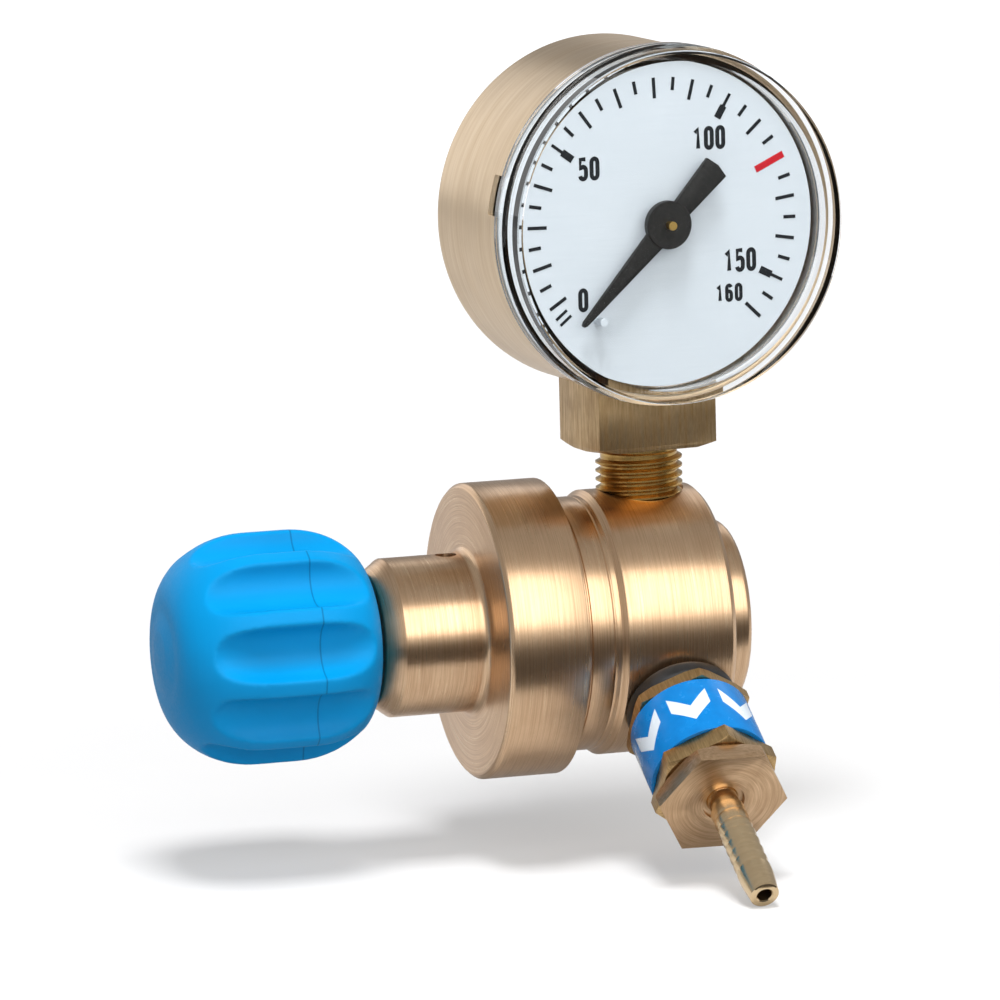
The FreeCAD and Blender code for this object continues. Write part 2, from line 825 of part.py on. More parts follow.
def make_outlet_connector():
    thread = rod(connector_thread_diameter, connector_thread_end, third_hexagon_start)
    nut = chamfered_hexagon(third_hexagon_width, third_hexagon_start, barb_start, third_hexagon_turn, True, False)
    recess = ring(barb_recess_diameter, barb_root_diameter, barb_start - barb_recess_depth, barb_start)
    outline = [(0, barb_start - barb_recess_depth), (barb_root_diameter / 2, barb_start - barb_recess_depth)]
    first_ridge = barb_end - barb_nose_length - barb_ridge_count * barb_ridge_pitch
    outline += [(barb_root_diameter / 2, first_ridge)]
    for step in range(barb_ridge_count):
        base = first_ridge + step * barb_ridge_pitch
        outline += [(barb_ridge_diameter / 2, base)]
        outline += [(barb_ridge_diameter / 2, base + 0.2 * barb_ridge_pitch)]
        outline += [(barb_root_diameter / 2 + 0.05, base + barb_ridge_pitch)]
    nose = barb_end - barb_nose_length
    outline += [(barb_ridge_diameter / 2, nose), (barb_ridge_diameter / 2, nose + 0.3 * barb_nose_length)]
    outline += [(barb_tip_diameter / 2, barb_end), (0, barb_end)]
    barb = turned(outline)
    bore = rod(barb_bore_diameter, connector_thread_end, barb_end)
    return thread.fuse(nut).cut(recess).fuse(barb).cut(bore).removeSplitter()


parts["outlet_seal"] = placed(make_outlet_seal(), outlet_frame())
parts["check_valve_body"] = placed(make_check_valve_body(), outlet_frame())
parts["label_sleeve"] = placed(make_label_sleeve(), outlet_frame())
parts["check_poppet"] = placed(make_check_poppet(), outlet_frame())
parts["check_poppet_seal"] = placed(make_check_seal(), outlet_frame())
parts["check_spring"] = placed(make_check_spring(), outlet_frame())
parts["connector_gasket"] = placed(make_connector_gasket(), outlet_frame())
parts["outlet_connector"] = placed(make_outlet_connector(), outlet_frame())


# Gauge case: drawn cup with a hole for the socket and a relief notch at its rim

def upright_box(width, depth_low, depth_high, low, high):
    return Part.makeBox(width, high - low, depth_high - depth_low, Vector(-width / 2, low, depth_low))


def make_gauge_case():
    rear = -case_rear_depth
    outer = turned([(0, rear), (case_radius, rear), (case_radius, case_front_depth), (0, case_front_depth)])
    edge = [e for e in outer.Edges if abs(e.BoundBox.ZMax - rear) < 1e-6 and e.Length > case_radius]
    outer = outer.makeFillet(case_rear_radius, edge)
    inside = case_radius - case_wall
    hollow = turned([(0, rear + case_wall), (inside, rear + case_wall),
                     (inside, case_front_depth), (0, case_front_depth)])
    edge = [e for e in hollow.Edges if abs(e.BoundBox.ZMax - rear - case_wall) < 1e-6 and e.Length > inside]
    hollow = hollow.makeFillet(case_rear_radius - case_wall, edge)
    case = outer.cut(hollow)
    case = case.cut(upright_box(socket_width + 2 * thread_play, -socket_depth / 2 - thread_play,
                                socket_depth / 2 + thread_play, -case_radius, -case_radius / 2))
    for side in (-1, 1):
        case = case.cut(rod(movement_screw_diameter + 2 * slide_play, rear, rear + case_wall,
                            side * screw_spacing / 2, screw_height))
    notch = Part.makeBox(case_radius, case_notch_width, case_notch_depth,
                         Vector(case_radius / 2, -case_notch_width / 2, case_front_depth - case_notch_depth))
    notch.rotate(Vector(0, 0, 0), Vector(0, 0, 1), case_notch_angle)
    return case.cut(notch)


# Window: one clear moulding whose flange rests on the case's rim, with a thick flat lens and a skirt inside the case

def make_window():
    flange = window_flange_diameter / 2
    step = window_step_diameter / 2
    rim = window_rim_diameter / 2
    skirt = case_radius - case_wall - slide_play
    skirt_inner = skirt - window_skirt_thickness
    skirt_rear = case_front_depth - window_skirt_depth
    lens_rear = window_rim_front - window_thickness
    return turned([
        (0, lens_rear), (skirt_inner, lens_rear), (skirt_inner, skirt_rear), (skirt, skirt_rear),
        (skirt, case_front_depth), (flange, case_front_depth), (flange, window_flange_front),
        (step, window_step_front), (rim, window_rim_front - window_edge_round),
        (rim - window_edge_round, window_rim_front), (0, window_rim_front),
    ])


# Socket: square bar with the thread below and a tongue above that carries the movement

def tube_section(thickness, width):
    """Stadium across the tube, drawn at the coil's radius in the XZ plane."""
    centre = tube_coil_diameter / 2
    middle = -tube_front_gap - tube_width / 2
    half = thickness / 2
    top = middle + width / 2 - half
    bottom = middle - width / 2 + half
    upper = Part.Arc(Vector(centre + half, 0, top), Vector(centre, 0, top + half),
                     Vector(centre - half, 0, top)).toShape()
    lower = Part.Arc(Vector(centre - half, 0, bottom), Vector(centre, 0, bottom - half),
                     Vector(centre + half, 0, bottom)).toShape()
    left = Part.makeLine(Vector(centre - half, 0, top), Vector(centre - half, 0, bottom))
    right = Part.makeLine(Vector(centre + half, 0, bottom), Vector(centre + half, 0, top))
    return Part.Face(Part.Wire([upper, left, lower, right]))


def tube_sweep(thickness, width, start, end):
    section = tube_section(thickness, width)
    section.rotate(Vector(0, 0, 0), Vector(0, 0, 1), start)
    return section.revolve(Vector(0, 0, 0), Vector(0, 0, 1), end - start)


def make_socket():
    shoulder = socket_shoulder_height - gauge_centre_height
    block = upright_box(socket_width, -socket_depth / 2, socket_depth / 2, shoulder, -socket_step_height)
    slope = math.tan(math.radians(socket_chamfer_angle))
    corner = math.hypot(socket_width, socket_depth) / 2 + 0.5
    start = socket_chamfer_diameter / 2
    lowest = turned([(0, 0), (start, 0), (corner, (corner - start) * slope), (corner, 100), (0, 100)])
    lowest.rotate(Vector(0, 0, 0), Vector(1, 0, 0), -90)
    lowest.translate(Vector(0, shoulder, 0))
    block = block.common(lowest)
    tongue = upright_box(socket_width, -tongue_thickness, 0, -socket_step_height, -tongue_top_radius)
    stub = Part.makeCylinder(gauge_thread_diameter / 2, gauge_stub_length,
                             Vector(0, shoulder - gauge_stub_length, 0), Vector(0, 1, 0))
    solid = block.fuse([tongue, stub]).removeSplitter()
    slot = tube_sweep(tube_thickness + 2 * press_play, tube_width + 2 * press_play, 180, tube_end_angle)
    passage = tube_sweep(tube_thickness - 2 * tube_wall, tube_width - 2 * tube_wall, 180, 270)
    bore_low = shoulder - gauge_stub_length
    bore = Part.makeCylinder(gauge_bore_diameter / 2, gauge_bore_top - bore_low,
                             Vector(0, bore_low, 0), Vector(0, 1, 0))
    bore_end = Vector(0, gauge_bore_top - gauge_bore_diameter / 4, 0)
    tube_entry = Vector(0, -tube_coil_diameter / 2, -tube_front_gap - tube_width / 2)
    lean = Part.makeCylinder(gauge_lean_diameter / 2, bore_end.distanceToPoint(tube_entry), bore_end,
                             tube_entry.sub(bore_end))
    for tool in (slot, passage, bore, lean):
        solid = solid.cut(tool)
    for side in (-1, 1):
        x = side * screw_spacing / 2
        solid = solid.cut(rod(movement_screw_diameter + 2 * press_play, -tongue_thickness, 0, x, screw_height))
    return solid


def make_gauge_gasket():
    gasket = ring(gauge_thread_diameter - 2 * thread_play, gauge_hole_diameter + 0.4, 0, gauge_gasket_thickness)
    upright = frame(Vector(port_station, 0, gauge_port_floor), Vector(1, 0, 0), Vector(0, 1, 0), Vector(0, 0, 1))
    return placed(gasket, upright)


parts["gauge_case"] = placed(make_gauge_case(), gauge_frame())
parts["gauge_window"] = placed(make_window(), gauge_frame())
parts["gauge_socket"] = placed(make_socket(), gauge_frame())
parts["gauge_gasket"] = make_gauge_gasket()


# Dial with its two feet, the stop pin and the pointer

def make_dial():
    disc = rod(dial_diameter, dial_rear, dial_face_depth)
    for side in (-1, 1):
        foot = rod(dial_foot_diameter, plate_thickness, dial_rear, side * dial_foot_spacing / 2, -dial_foot_drop)
        disc = disc.fuse(foot)
    hole = rod(arbor_diameter + 4 * slide_play, dial_rear, dial_face_depth)
    x, y = polar(stop_pin_radius, pointer_rest_angle + stop_pin_lead)
    pin_hole = rod(stop_pin_diameter + 2 * press_play, dial_rear, dial_face_depth, x, y)
    return disc.removeSplitter().cut(hole).cut(pin_hole)


def make_stop_pin():
    x, y = polar(stop_pin_radius, pointer_rest_angle + stop_pin_lead)
    return rod(stop_pin_diameter, dial_rear, dial_face_depth + stop_pin_height, x, y)


def make_pointer():
    hub = pointer_hub_diameter / 2
    outline = [
        (pointer_reach, -pointer_tip_width / 2), (pointer_reach, pointer_tip_width / 2),
        (hub * 0.8, pointer_blade_width / 2), (-hub * 0.8, pointer_tail_neck_width / 2),
        (-pointer_tail_reach, pointer_tail_width / 2), (-pointer_tail_reach, -pointer_tail_width / 2),
        (-hub * 0.8, -pointer_tail_neck_width / 2), (hub * 0.8, -pointer_blade_width / 2),
    ]
    blade = plate(outline, pointer_rear, pointer_rear + pointer_thickness)
    centre = rod(pointer_hub_diameter, pointer_rear, pointer_hub_front)
    bore = rod(arbor_diameter + 2 * press_play, pointer_rear, pointer_hub_front)
    pointer = blade.fuse(centre).cut(bore)
    pointer.rotate(Vector(0, 0, 0), Vector(0, 0, 1), pointer_rest_angle)
    return pointer


parts["dial"] = placed(make_dial(), gauge_frame())
parts["stop_pin"] = placed(make_stop_pin(), gauge_frame())
parts["pointer"] = placed(make_pointer(), gauge_frame())


# Gears: straight-sided teeth with backlash, in mesh at rest

def gear_outline(teeth, first, count, addendum, dedendum):
    """Points of some teeth about the origin, tooth number first centred on angle 0."""
    pitch_radius = gear_module * teeth / 2
    tip = pitch_radius + addendum
    root = pitch_radius - dedendum
    pitch_angle = 360.0 / teeth
    half_tooth = pitch_angle / 4 - math.degrees(tooth_backlash / 2 / pitch_radius)
    points = []
    for number in range(first, first + count):
        centre = number * pitch_angle
        root_half = half_tooth + math.degrees(0.5 * dedendum / pitch_radius) * 0.6
        tip_half = half_tooth - math.degrees(0.5 * addendum / pitch_radius)
        for radius, offset in ((root, -root_half), (tip, -tip_half), (tip, tip_half), (root, root_half)):
            points.append(polar(radius, centre + offset))
    return points


def make_arbor():
    pinion = plate(gear_outline(pinion_teeth, 0, pinion_teeth, gear_module * 0.9, gear_module * 1.15),
                   gear_rear - pinion_extra_width / 2, gear_front + pinion_extra_width / 2)
    pinion.rotate(Vector(0, 0, 0), Vector(0, 0, 1), 90 + 180.0 / pinion_teeth)
    shaft = rod(arbor_diameter, gear_front, pointer_hub_front + arbor_proud)
    rear_shaft = rod(arbor_diameter, back_plate_front + pivot_play, gear_rear)
    pivot = rod(pivot_diameter, back_plate_rear, back_plate_front + pivot_play)
    collet = rod(collet_diameter, hairspring_plane - 0.1, hairspring_plane + hairspring_width + 0.1)
    return pinion.fuse([shaft, rear_shaft, pivot, collet]).removeSplitter()


def make_sector():
    half_count = sector_teeth // 2
    pitch_angle = 360.0 / sector_full_teeth
    teeth = gear_outline(sector_full_teeth, -half_count, sector_teeth + 1, gear_module * 0.9, gear_module * 1.15)
    root = gear_module * sector_full_teeth / 2 - gear_module * 1.15
    inner = root - sector_rim_width
    spread = (half_count + 0.5) * pitch_angle
    arc = [polar(inner, spread - 2 * spread * step / 12) for step in range(13)]
    blade = plate(teeth + arc, gear_rear, gear_front)
    for angle in (-0.75 * spread, 0.75 * spread):
        x, y = polar(inner + 0.4, angle)
        side_x, side_y = polar(0.45, angle + 90)
        blade = blade.fuse(plate([(side_x, side_y), (-side_x, -side_y), (x - side_x, y - side_y),
                                  (x + side_x, y + side_y)], gear_rear, gear_front))
    tail = plate([(0, 0.7), (0, -0.7), (-sector_arm_radius, -0.6), (-sector_arm_radius, 0.6)],
                 gear_rear, gear_front)
    tail_end = rod(1.2, gear_rear, gear_front, -sector_arm_radius, 0)
    pin = rod(link_pin_diameter, gear_rear, link_front + link_pin_proud, -sector_arm_radius, 0)
    hub = rod(sector_hub_diameter, gear_rear, gear_front)
    shaft = rod(sector_arbor_diameter, back_plate_front + pivot_play, -pivot_play)
    pivots = rod(pivot_diameter, back_plate_rear, plate_thickness)
    sector = blade.fuse([tail, tail_end, pin, hub, shaft, pivots]).removeSplitter()
    sector.rotate(Vector(0, 0, 0), Vector(0, 0, 1), 90 - sector_swing / 2)
    sector.translate(Vector(0, -sector_distance, 0))
    return sector


def tail_position(swing):
    """Centre of the sector's tail pin when the sector has turned by an angle from rest."""
    angle = -90 - sector_swing / 2 + swing
    x, y = polar(sector_arm_radius, angle)
    return x, y - sector_distance


def make_link():
    start_x, start_y = tail_position(0)
    middle_y = tail_position(sector_swing / 2)[1]
    start_y -= (start_y - middle_y) / 2
    end_x, end_y = tip_pin_across, -tip_pin_drop
    length = math.hypot(end_x - start_x, end_y - start_y)
    bar = plate([(0, link_width / 2), (0, -link_width / 2), (length, -link_width / 2), (length, link_width / 2)],
                link_rear, link_front)
    bar = bar.fuse(rod(link_width, link_rear, link_front)).fuse(rod(link_width, link_rear, link_front, length, 0))
    bar = bar.removeSplitter()
    bar = bar.cut(rod(link_pin_diameter + 2 * open_pivot_play, link_rear, link_front))
    bar = bar.cut(rod(link_pin_diameter + 2 * pivot_play, link_rear, link_front, length, 0))
    bar.rotate(Vector(0, 0, 0), Vector(0, 0, 1), math.degrees(math.atan2(end_y - start_y, end_x - start_x)))
    bar.translate(Vector(start_x, start_y, 0))
    return bar


def make_tube_end():
    centre = tube_coil_diameter / 2
    half = tube_thickness / 2 + tip_block_margin
    rear = -tube_front_gap - tube_width - tip_block_margin
    front = -tube_front_gap + tip_block_margin
    corners = [Vector(centre - half, 0, rear), Vector(centre + half, 0, rear),
               Vector(centre + half, 0, front), Vector(centre - half, 0, front)]
    section = Part.Face(Part.makePolygon(corners + [corners[0]]))
    section.rotate(Vector(0, 0, 0), Vector(0, 0, 1), tube_start_angle - tip_block_angle)
    block = section.revolve(Vector(0, 0, 0), Vector(0, 0, 1), tip_block_angle)
    pin_x, pin_y = tip_pin_across, -tip_pin_drop
    lug_root_x, lug_root_y = polar(centre, tube_start_angle - tip_block_angle / 2)
    lug = plate([(pin_x, pin_y + 0.7), (pin_x, pin_y - 0.7), (lug_root_x, lug_root_y - 0.7),
                 (lug_root_x, lug_root_y + 0.7)], gear_rear, gear_front)
    lug_end = rod(1.4, gear_rear, gear_front, pin_x, pin_y)
    pin = rod(link_pin_diameter, gear_rear, link_front + link_pin_proud, pin_x, pin_y)
    return block.fuse([lug, lug_end, pin]).removeSplitter()


def make_bourdon_tube():
    outer = tube_sweep(tube_thickness, tube_width, tube_start_angle, tube_end_angle)
    inner = tube_sweep(tube_thickness - 2 * tube_wall, tube_width - 2 * tube_wall, tube_start_angle, tube_end_angle)
    return outer.cut(inner)


def make_hairspring():
    """Flat spiral from the collet to the stud on the front plate."""
    start = collet_diameter / 2 + hairspring_strip / 2
    end = hairspring_diameter / 2
    steps = int(hairspring_turns * 16)
    inner = []
    outer = []
    for step in range(steps + 1):
        share = step / steps
        radius = start + (end - start) * share
        angle = 45 + 360 * hairspring_turns * share
        inner.append(polar(radius - hairspring_strip / 2, angle))
        outer.append(polar(radius + hairspring_strip / 2, angle))
    return plate(outer + inner[::-1], hairspring_plane, hairspring_plane + hairspring_width)


parts["pointer_arbor"] = placed(make_arbor(), gauge_frame())
parts["sector_gear"] = placed(make_sector(), gauge_frame())
parts["movement_link"] = placed(make_link(), gauge_frame())
parts["tube_end_piece"] = placed(make_tube_end(), gauge_frame())
parts["bourdon_tube"] = placed(make_bourdon_tube(), gauge_frame())
parts["hairspring"] = placed(make_hairspring(), gauge_frame())


# Movement plates, pillars and screws

def plate_blank(low, high):
    half = plate_width / 2
    height = plate_top - plate_bottom
    blank = Part.makeBox(plate_width, height, high - low, Vector(-half, plate_bottom, low))
    upright = [e for e in blank.Edges if abs(e.BoundBox.ZLength - (high - low)) < 1e-6]
    blank = blank.makeFillet(plate_corner_radius, upright)
    sector_hole = rod(pivot_diameter + 2 * pivot_play, low, high, 0, -sector_distance)
    blank = blank.cut(sector_hole)
    for side in (-1, 1):
        blank = blank.cut(rod(pillar_rivet_diameter + 2 * press_play, low, high, side * pillar_spacing / 2,
                              pillar_height))
        blank = blank.cut(rod(movement_screw_diameter + 2 * slide_play, low, high, side * screw_spacing / 2,
                              screw_height))
    return blank


def make_front_plate():
    blank = plate_blank(0, plate_thickness)
    blank = blank.cut(rod(arbor_diameter + 2 * pivot_play, 0, plate_thickness))
    angle = 45 + 360 * hairspring_turns
    x, y = polar(hairspring_diameter / 2 + hairspring_strip / 2 + stud_pin_diameter / 2, angle)
    return blank.fuse(rod(stud_pin_diameter, hairspring_plane, 0, x, y))


def make_back_plate():
    blank = plate_blank(back_plate_rear, back_plate_front)
    return blank.cut(rod(pivot_diameter + 2 * pivot_play, back_plate_rear, back_plate_front))


def make_pillars():
    pair = []
    for side in (-1, 1):
        x = side * pillar_spacing / 2
        pillar = rod(pillar_diameter, back_plate_front, 0, x, pillar_height)
        rivet = rod(pillar_rivet_diameter, back_plate_rear, plate_thickness, x, pillar_height)
        pair.append(pillar.fuse(rivet).removeSplitter())
    return Part.makeCompound(pair)


def slotted_head(diameter, low, high, x, slot_at_top):
    head = rod(diameter, low, high, x, screw_height)
    slot_low = high - screw_slot_depth if slot_at_top else low
    slot = Part.makeBox(diameter, screw_slot_width, screw_slot_depth,
                        Vector(x - diameter / 2, screw_height - screw_slot_width / 2, slot_low))
    return head.cut(slot)


def make_movement_screws():
    pair = []
    for side in (-1, 1):
        x = side * screw_spacing / 2
        shank = rod(movement_screw_diameter, -movement_screw_length, plate_thickness, x, screw_height)
        head = slotted_head(movement_screw_head_diameter, plate_thickness,
                            plate_thickness + movement_screw_head_height, x, True)
        pair.append(shank.fuse(head).removeSplitter())
    return Part.makeCompound(pair)


def make_case_screws():
    pair = []
    rear = -case_rear_depth
    for side in (-1, 1):
        x = side * screw_spacing / 2
        shank = rod(movement_screw_diameter, rear, back_plate_front + case_screw_length, x, screw_height)
        head = slotted_head(case_screw_head_diameter, rear - case_screw_head_height, rear, x, False)
        pair.append(shank.fuse(head).removeSplitter())
    return Part.makeCompound(pair)


def make_case_spacers():
    pair = [ring(spacer_diameter, movement_screw_diameter + 2 * slide_play, case_rear_inside, back_plate_rear,
                 side * screw_spacing / 2, screw_height) for side in (-1, 1)]
    return Part.makeCompound(pair)


parts["movement_front_plate"] = placed(make_front_plate(), gauge_frame())
parts["movement_back_plate"] = placed(make_back_plate(), gauge_frame())
parts["movement_pillars"] = placed(make_pillars(), gauge_frame())
parts["movement_screws"] = placed(make_movement_screws(), gauge_frame())
parts["case_screws"] = placed(make_case_screws(), gauge_frame())
parts["case_spacers"] = placed(make_case_spacers(), gauge_frame())


# Write one STEP file for each piece

os.makedirs("parts", exist_ok=True)
for name, shape in parts.items():
    shape.exportStep("parts/" + name + ".step")
    box = shape.BoundBox
    print(f"{name}: {len(shape.Solids)} solid(s), {shape.Volume:.1f} mm3, valid {shape.isValid()}, "
          f"x {box.XMin:.1f}..{box.XMax:.1f} y {box.YMin:.1f}..{box.YMax:.1f} z {box.ZMin:.1f}..{box.ZMax:.1f}")
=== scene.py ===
import bpy
import json
import math
from mathutils import Matrix, Vector


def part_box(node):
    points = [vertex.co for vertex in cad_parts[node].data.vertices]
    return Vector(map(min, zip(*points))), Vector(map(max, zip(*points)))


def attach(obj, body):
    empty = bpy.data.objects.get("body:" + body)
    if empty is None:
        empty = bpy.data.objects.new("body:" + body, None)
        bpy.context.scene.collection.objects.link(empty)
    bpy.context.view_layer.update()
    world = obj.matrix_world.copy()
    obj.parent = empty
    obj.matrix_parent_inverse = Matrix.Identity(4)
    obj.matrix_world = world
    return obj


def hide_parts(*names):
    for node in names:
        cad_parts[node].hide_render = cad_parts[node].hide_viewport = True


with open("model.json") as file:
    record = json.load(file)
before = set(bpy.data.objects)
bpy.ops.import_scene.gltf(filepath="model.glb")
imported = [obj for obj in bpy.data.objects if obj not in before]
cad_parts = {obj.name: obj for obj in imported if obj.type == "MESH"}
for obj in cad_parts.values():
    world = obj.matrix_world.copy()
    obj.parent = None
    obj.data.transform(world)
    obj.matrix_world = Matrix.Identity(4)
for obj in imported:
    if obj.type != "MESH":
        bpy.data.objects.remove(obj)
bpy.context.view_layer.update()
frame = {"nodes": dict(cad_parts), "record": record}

# Oxygen regulator: brass body, fluted blue knob, round contents gauge and an angled hose barb.
# The sizes below are millimetres, and each piece is drawn about its own Z axis and then put in its place.


# Inlet connector: a turned brass flange with a threaded shank behind it. It screws into the body,
# and the cylinder valve's fitting screws into the short thread in its mouth.

MM = 0.001
HAIR = 0.001
SIDES = 144
METAL = {"Metallic": 1.0}

# POLE is the radius that stands for the axis in an outline, WELD joins doubled points, and
# RIDGE_ROOT is how far a thread's ridge is sunk into its core.
POLE = 0.002
WELD = 0.006
RIDGE_ROOT = 0.12

main_place = Matrix(((0, 0, 1, 0), (1, 0, 0, 0), (0, 1, 0, 0), (0, 0, 0, 1)))
main_axis = Vector((1, 0, 0))

flange_radius = 10.7
flange_length = 3.4
shank_radius = 7.0
shank_end = -7.8
inlet_minor_radius = 5.5
inlet_major_radius = 6.0
inlet_depth = 4.6
filter_radius = 3.6
filter_end = -6.2
filter_way = 1.5
mouth_chamfer = 0.5


def clear_selection():
    for thing in bpy.context.selected_objects:
        thing.select_set(False)


def close_mesh(weld=0.0):
    """Welds the points of the mesh that is being edited, turns its faces outwards and ends the edit."""
    bpy.ops.mesh.select_all(action="SELECT")
    bpy.ops.mesh.remove_doubles(threshold=weld * MM)
    bpy.ops.mesh.normals_make_consistent(inside=False)
    bpy.ops.object.mode_set(mode="OBJECT")


def turned(name, outline, bored=True, sides=SIDES):
    """Circle that is extruded and scaled from point to point of a (radius, height) outline."""
    clear_selection()
    radius, height = outline[0]
    bpy.ops.mesh.primitive_circle_add(vertices=sides, radius=radius * MM, location=(0, 0, height * MM))
    piece = bpy.context.object
    piece.name = piece.data.name = name
    bpy.ops.object.transform_apply()
    bpy.ops.object.mode_set(mode="EDIT")
    bpy.ops.mesh.select_all(action="SELECT")
    for next_radius, next_height in outline[1:] + (outline[:1] if bored else []):
        rise = (next_height - height) * MM
        bpy.ops.mesh.extrude_region_move(TRANSFORM_OT_translate={"value": (0, 0, rise)})
        ratio = next_radius / radius
        bpy.ops.transform.resize(value=(ratio, ratio, 1), center_override=(0, 0, next_height * MM))
        radius, height = next_radius, next_height
    close_mesh(WELD)
    return piece


def pick(piece):
    clear_selection()
    piece.select_set(True)
    bpy.context.view_layer.objects.active = piece


def apply_modifier(piece, kind, **settings):
    step = piece.modifiers.new(kind.title(), kind)
    for setting, value in settings.items():
        setattr(step, setting, value)
    pick(piece)
    bpy.ops.object.modifier_apply(modifier=step.name)


def broken_edges(piece, width, segments=2, angle=28):
    """Small rounds on the sharp edges, as a tool or a file leaves them."""
    apply_modifier(piece, "BEVEL", width=width * MM, segments=segments, limit_method="ANGLE",
                   angle_limit=math.radians(angle), use_clamp_overlap=True)


def carve(piece, tool, operation="DIFFERENCE"):
    apply_modifier(piece, "BOOLEAN", operation=operation, solver="EXACT", object=tool)
    bpy.data.objects.remove(tool)


def joined(piece, *others):
    pick(piece)
    for other in others:
        other.select_set(True)
    bpy.ops.object.join()
    return piece


def thread_ridge(name, core, crest, pitch, low, turns, steps=60):
    """One ridge wound round a core, or inside a bore where the crest is the smaller radius."""
    clear_selection()
    bpy.ops.mesh.primitive_circle_add(vertices=4, radius=pitch * MM)
    ridge = bpy.context.object
    ridge.name = ridge.data.name = name
    foot = core - math.copysign(RIDGE_ROOT, crest - core)
    corners = ((foot, -0.46), (foot, 0.46), (crest, 0.09), (crest, -0.09))
    for vertex, (radius, share) in zip(ridge.data.vertices, corners):
        vertex.co = (radius * MM, 0, (low + share * pitch) * MM)
    apply_modifier(ridge, "SCREW", axis="Z", angle=2 * math.pi, screw_offset=pitch * MM,
                   iterations=turns, steps=steps, render_steps=steps)
    bpy.ops.object.mode_set(mode="EDIT")
    bpy.ops.mesh.select_all(action="DESELECT")
    bpy.ops.mesh.select_non_manifold(extend=False)
    bpy.ops.mesh.fill_holes(sides=4)
    close_mesh(WELD / 3)
    return ridge


def settle(piece, place, angle=24):
    """Puts a finished piece in its place in the object, and leaves that place in its mesh."""
    matrix = place.copy()
    matrix.translation = place.translation * MM
    pick(piece)
    piece.matrix_world = matrix
    bpy.ops.object.transform_apply()
    bpy.ops.object.shade_smooth_by_angle(angle=math.radians(angle))
    return piece


def finished(piece, material, body, slot, *nodes):
    piece.data.materials.clear()
    piece.data.materials.append(material)
    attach(piece, body)
    if nodes:
        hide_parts(*nodes)


def colour(code):
    """Colour that is written as in the photograph, as Blender's linear values."""
    shades = [int(code[start:start + 2], 16) / 255 for start in (1, 3, 5)]
    linear = [shade / 12.92 if shade < 0.04045 else ((shade + 0.055) / 1.055) ** 2.4 for shade in shades]
    return (*linear, 1.0)


def new_material(name):
    material = bpy.data.materials.new(name)
    material.use_nodes = True
    material.node_tree.nodes.clear()
    return material, material.node_tree


def add_node(tree, kind, settings=None, sockets=None):
    """Adds a node. Settings are its options, and each socket gets a value or another node's output."""
    made = tree.nodes.new("ShaderNode" + kind)
    for option, value in (settings or {}).items():
        setattr(made, option, value)
    for socket, value in (sockets or {}).items():
        if isinstance(value, bpy.types.NodeSocket):
            tree.links.new(value, made.inputs[socket])
        else:
            made.inputs[socket].default_value = value
    return made


def surface(tree, shader):
    add_node(tree, "OutputMaterial", None, {"Surface": shader})


def principled(tree, sockets):
    surface(tree, add_node(tree, "BsdfPrincipled", None, sockets).outputs[0])


def own_place(tree):
    """Object coordinates, so that a pattern stays on its piece when the piece moves."""
    return add_node(tree, "TexCoord").outputs["Object"]


def stretched_place(tree, stretch):
    made = add_node(tree, "Mapping", None, {"Vector": own_place(tree), "Scale": stretch})
    return made.outputs["Vector"]


def noise(tree, where, scale, detail, roughness=0.5):
    made = add_node(tree, "TexNoise", None, {"Vector": where, "Scale": scale, "Detail": detail,
                                             "Roughness": roughness})
    return made.outputs["Fac"]


def bumped(tree, height, strength, reach=0.03):
    """Normal of a surface with a fine relief that reaches so many millimetres."""
    made = add_node(tree, "Bump", None, {"Height": height, "Strength": strength, "Distance": reach * MM})
    return made.outputs["Normal"]


def blend_of(tree, amount, first, second):
    """Colour between two colours. Either may be a value or an output."""
    mix = add_node(tree, "Mix", {"data_type": "RGBA"})
    for index, value in ((0, amount), (6, first), (7, second)):
        if isinstance(value, bpy.types.NodeSocket):
            tree.links.new(value, mix.inputs[index])
        else:
            mix.inputs[index].default_value = value
    return mix.outputs[2]


def spread(tree, value, low, high, to_low=0.0, to_high=1.0):
    made = add_node(tree, "MapRange", None, {"Value": value, "From Min": low, "From Max": high,
                                             "To Min": to_low, "To Max": to_high})
    return made.outputs["Result"]


def arithmetic(tree, operation, first, second=0.0):
    return add_node(tree, "Math", {"operation": operation}, {0: first, 1: second}).outputs[0]


def vector_sum(tree, operation, first, second=(0, 0, 0)):
    made = add_node(tree, "VectorMath", {"operation": operation}, {0: first, 1: second})
    return made.outputs["Value" if operation in ("DOT_PRODUCT", "LENGTH") else "Vector"]


def scaled(tree, vector, factor):
    made = add_node(tree, "VectorMath", {"operation": "SCALE"}, {0: vector, "Scale": factor})
    return made.outputs["Vector"]


def round_the_axis(tree, centre, axis):
    """Height along an axis, distance from it and the direction round it, in millimetres."""
    place = own_place(tree)
    offset = vector_sum(tree, "SUBTRACT", place, tuple(c * MM for c in centre))
    offset = scaled(tree, offset, 1 / MM)
    height = vector_sum(tree, "DOT_PRODUCT", offset, tuple(axis))
    around = vector_sum(tree, "CROSS_PRODUCT", tuple(axis), offset)
    distance = vector_sum(tree, "LENGTH", around)
    direction = vector_sum(tree, "NORMALIZE", around)
    return place, height, distance, direction


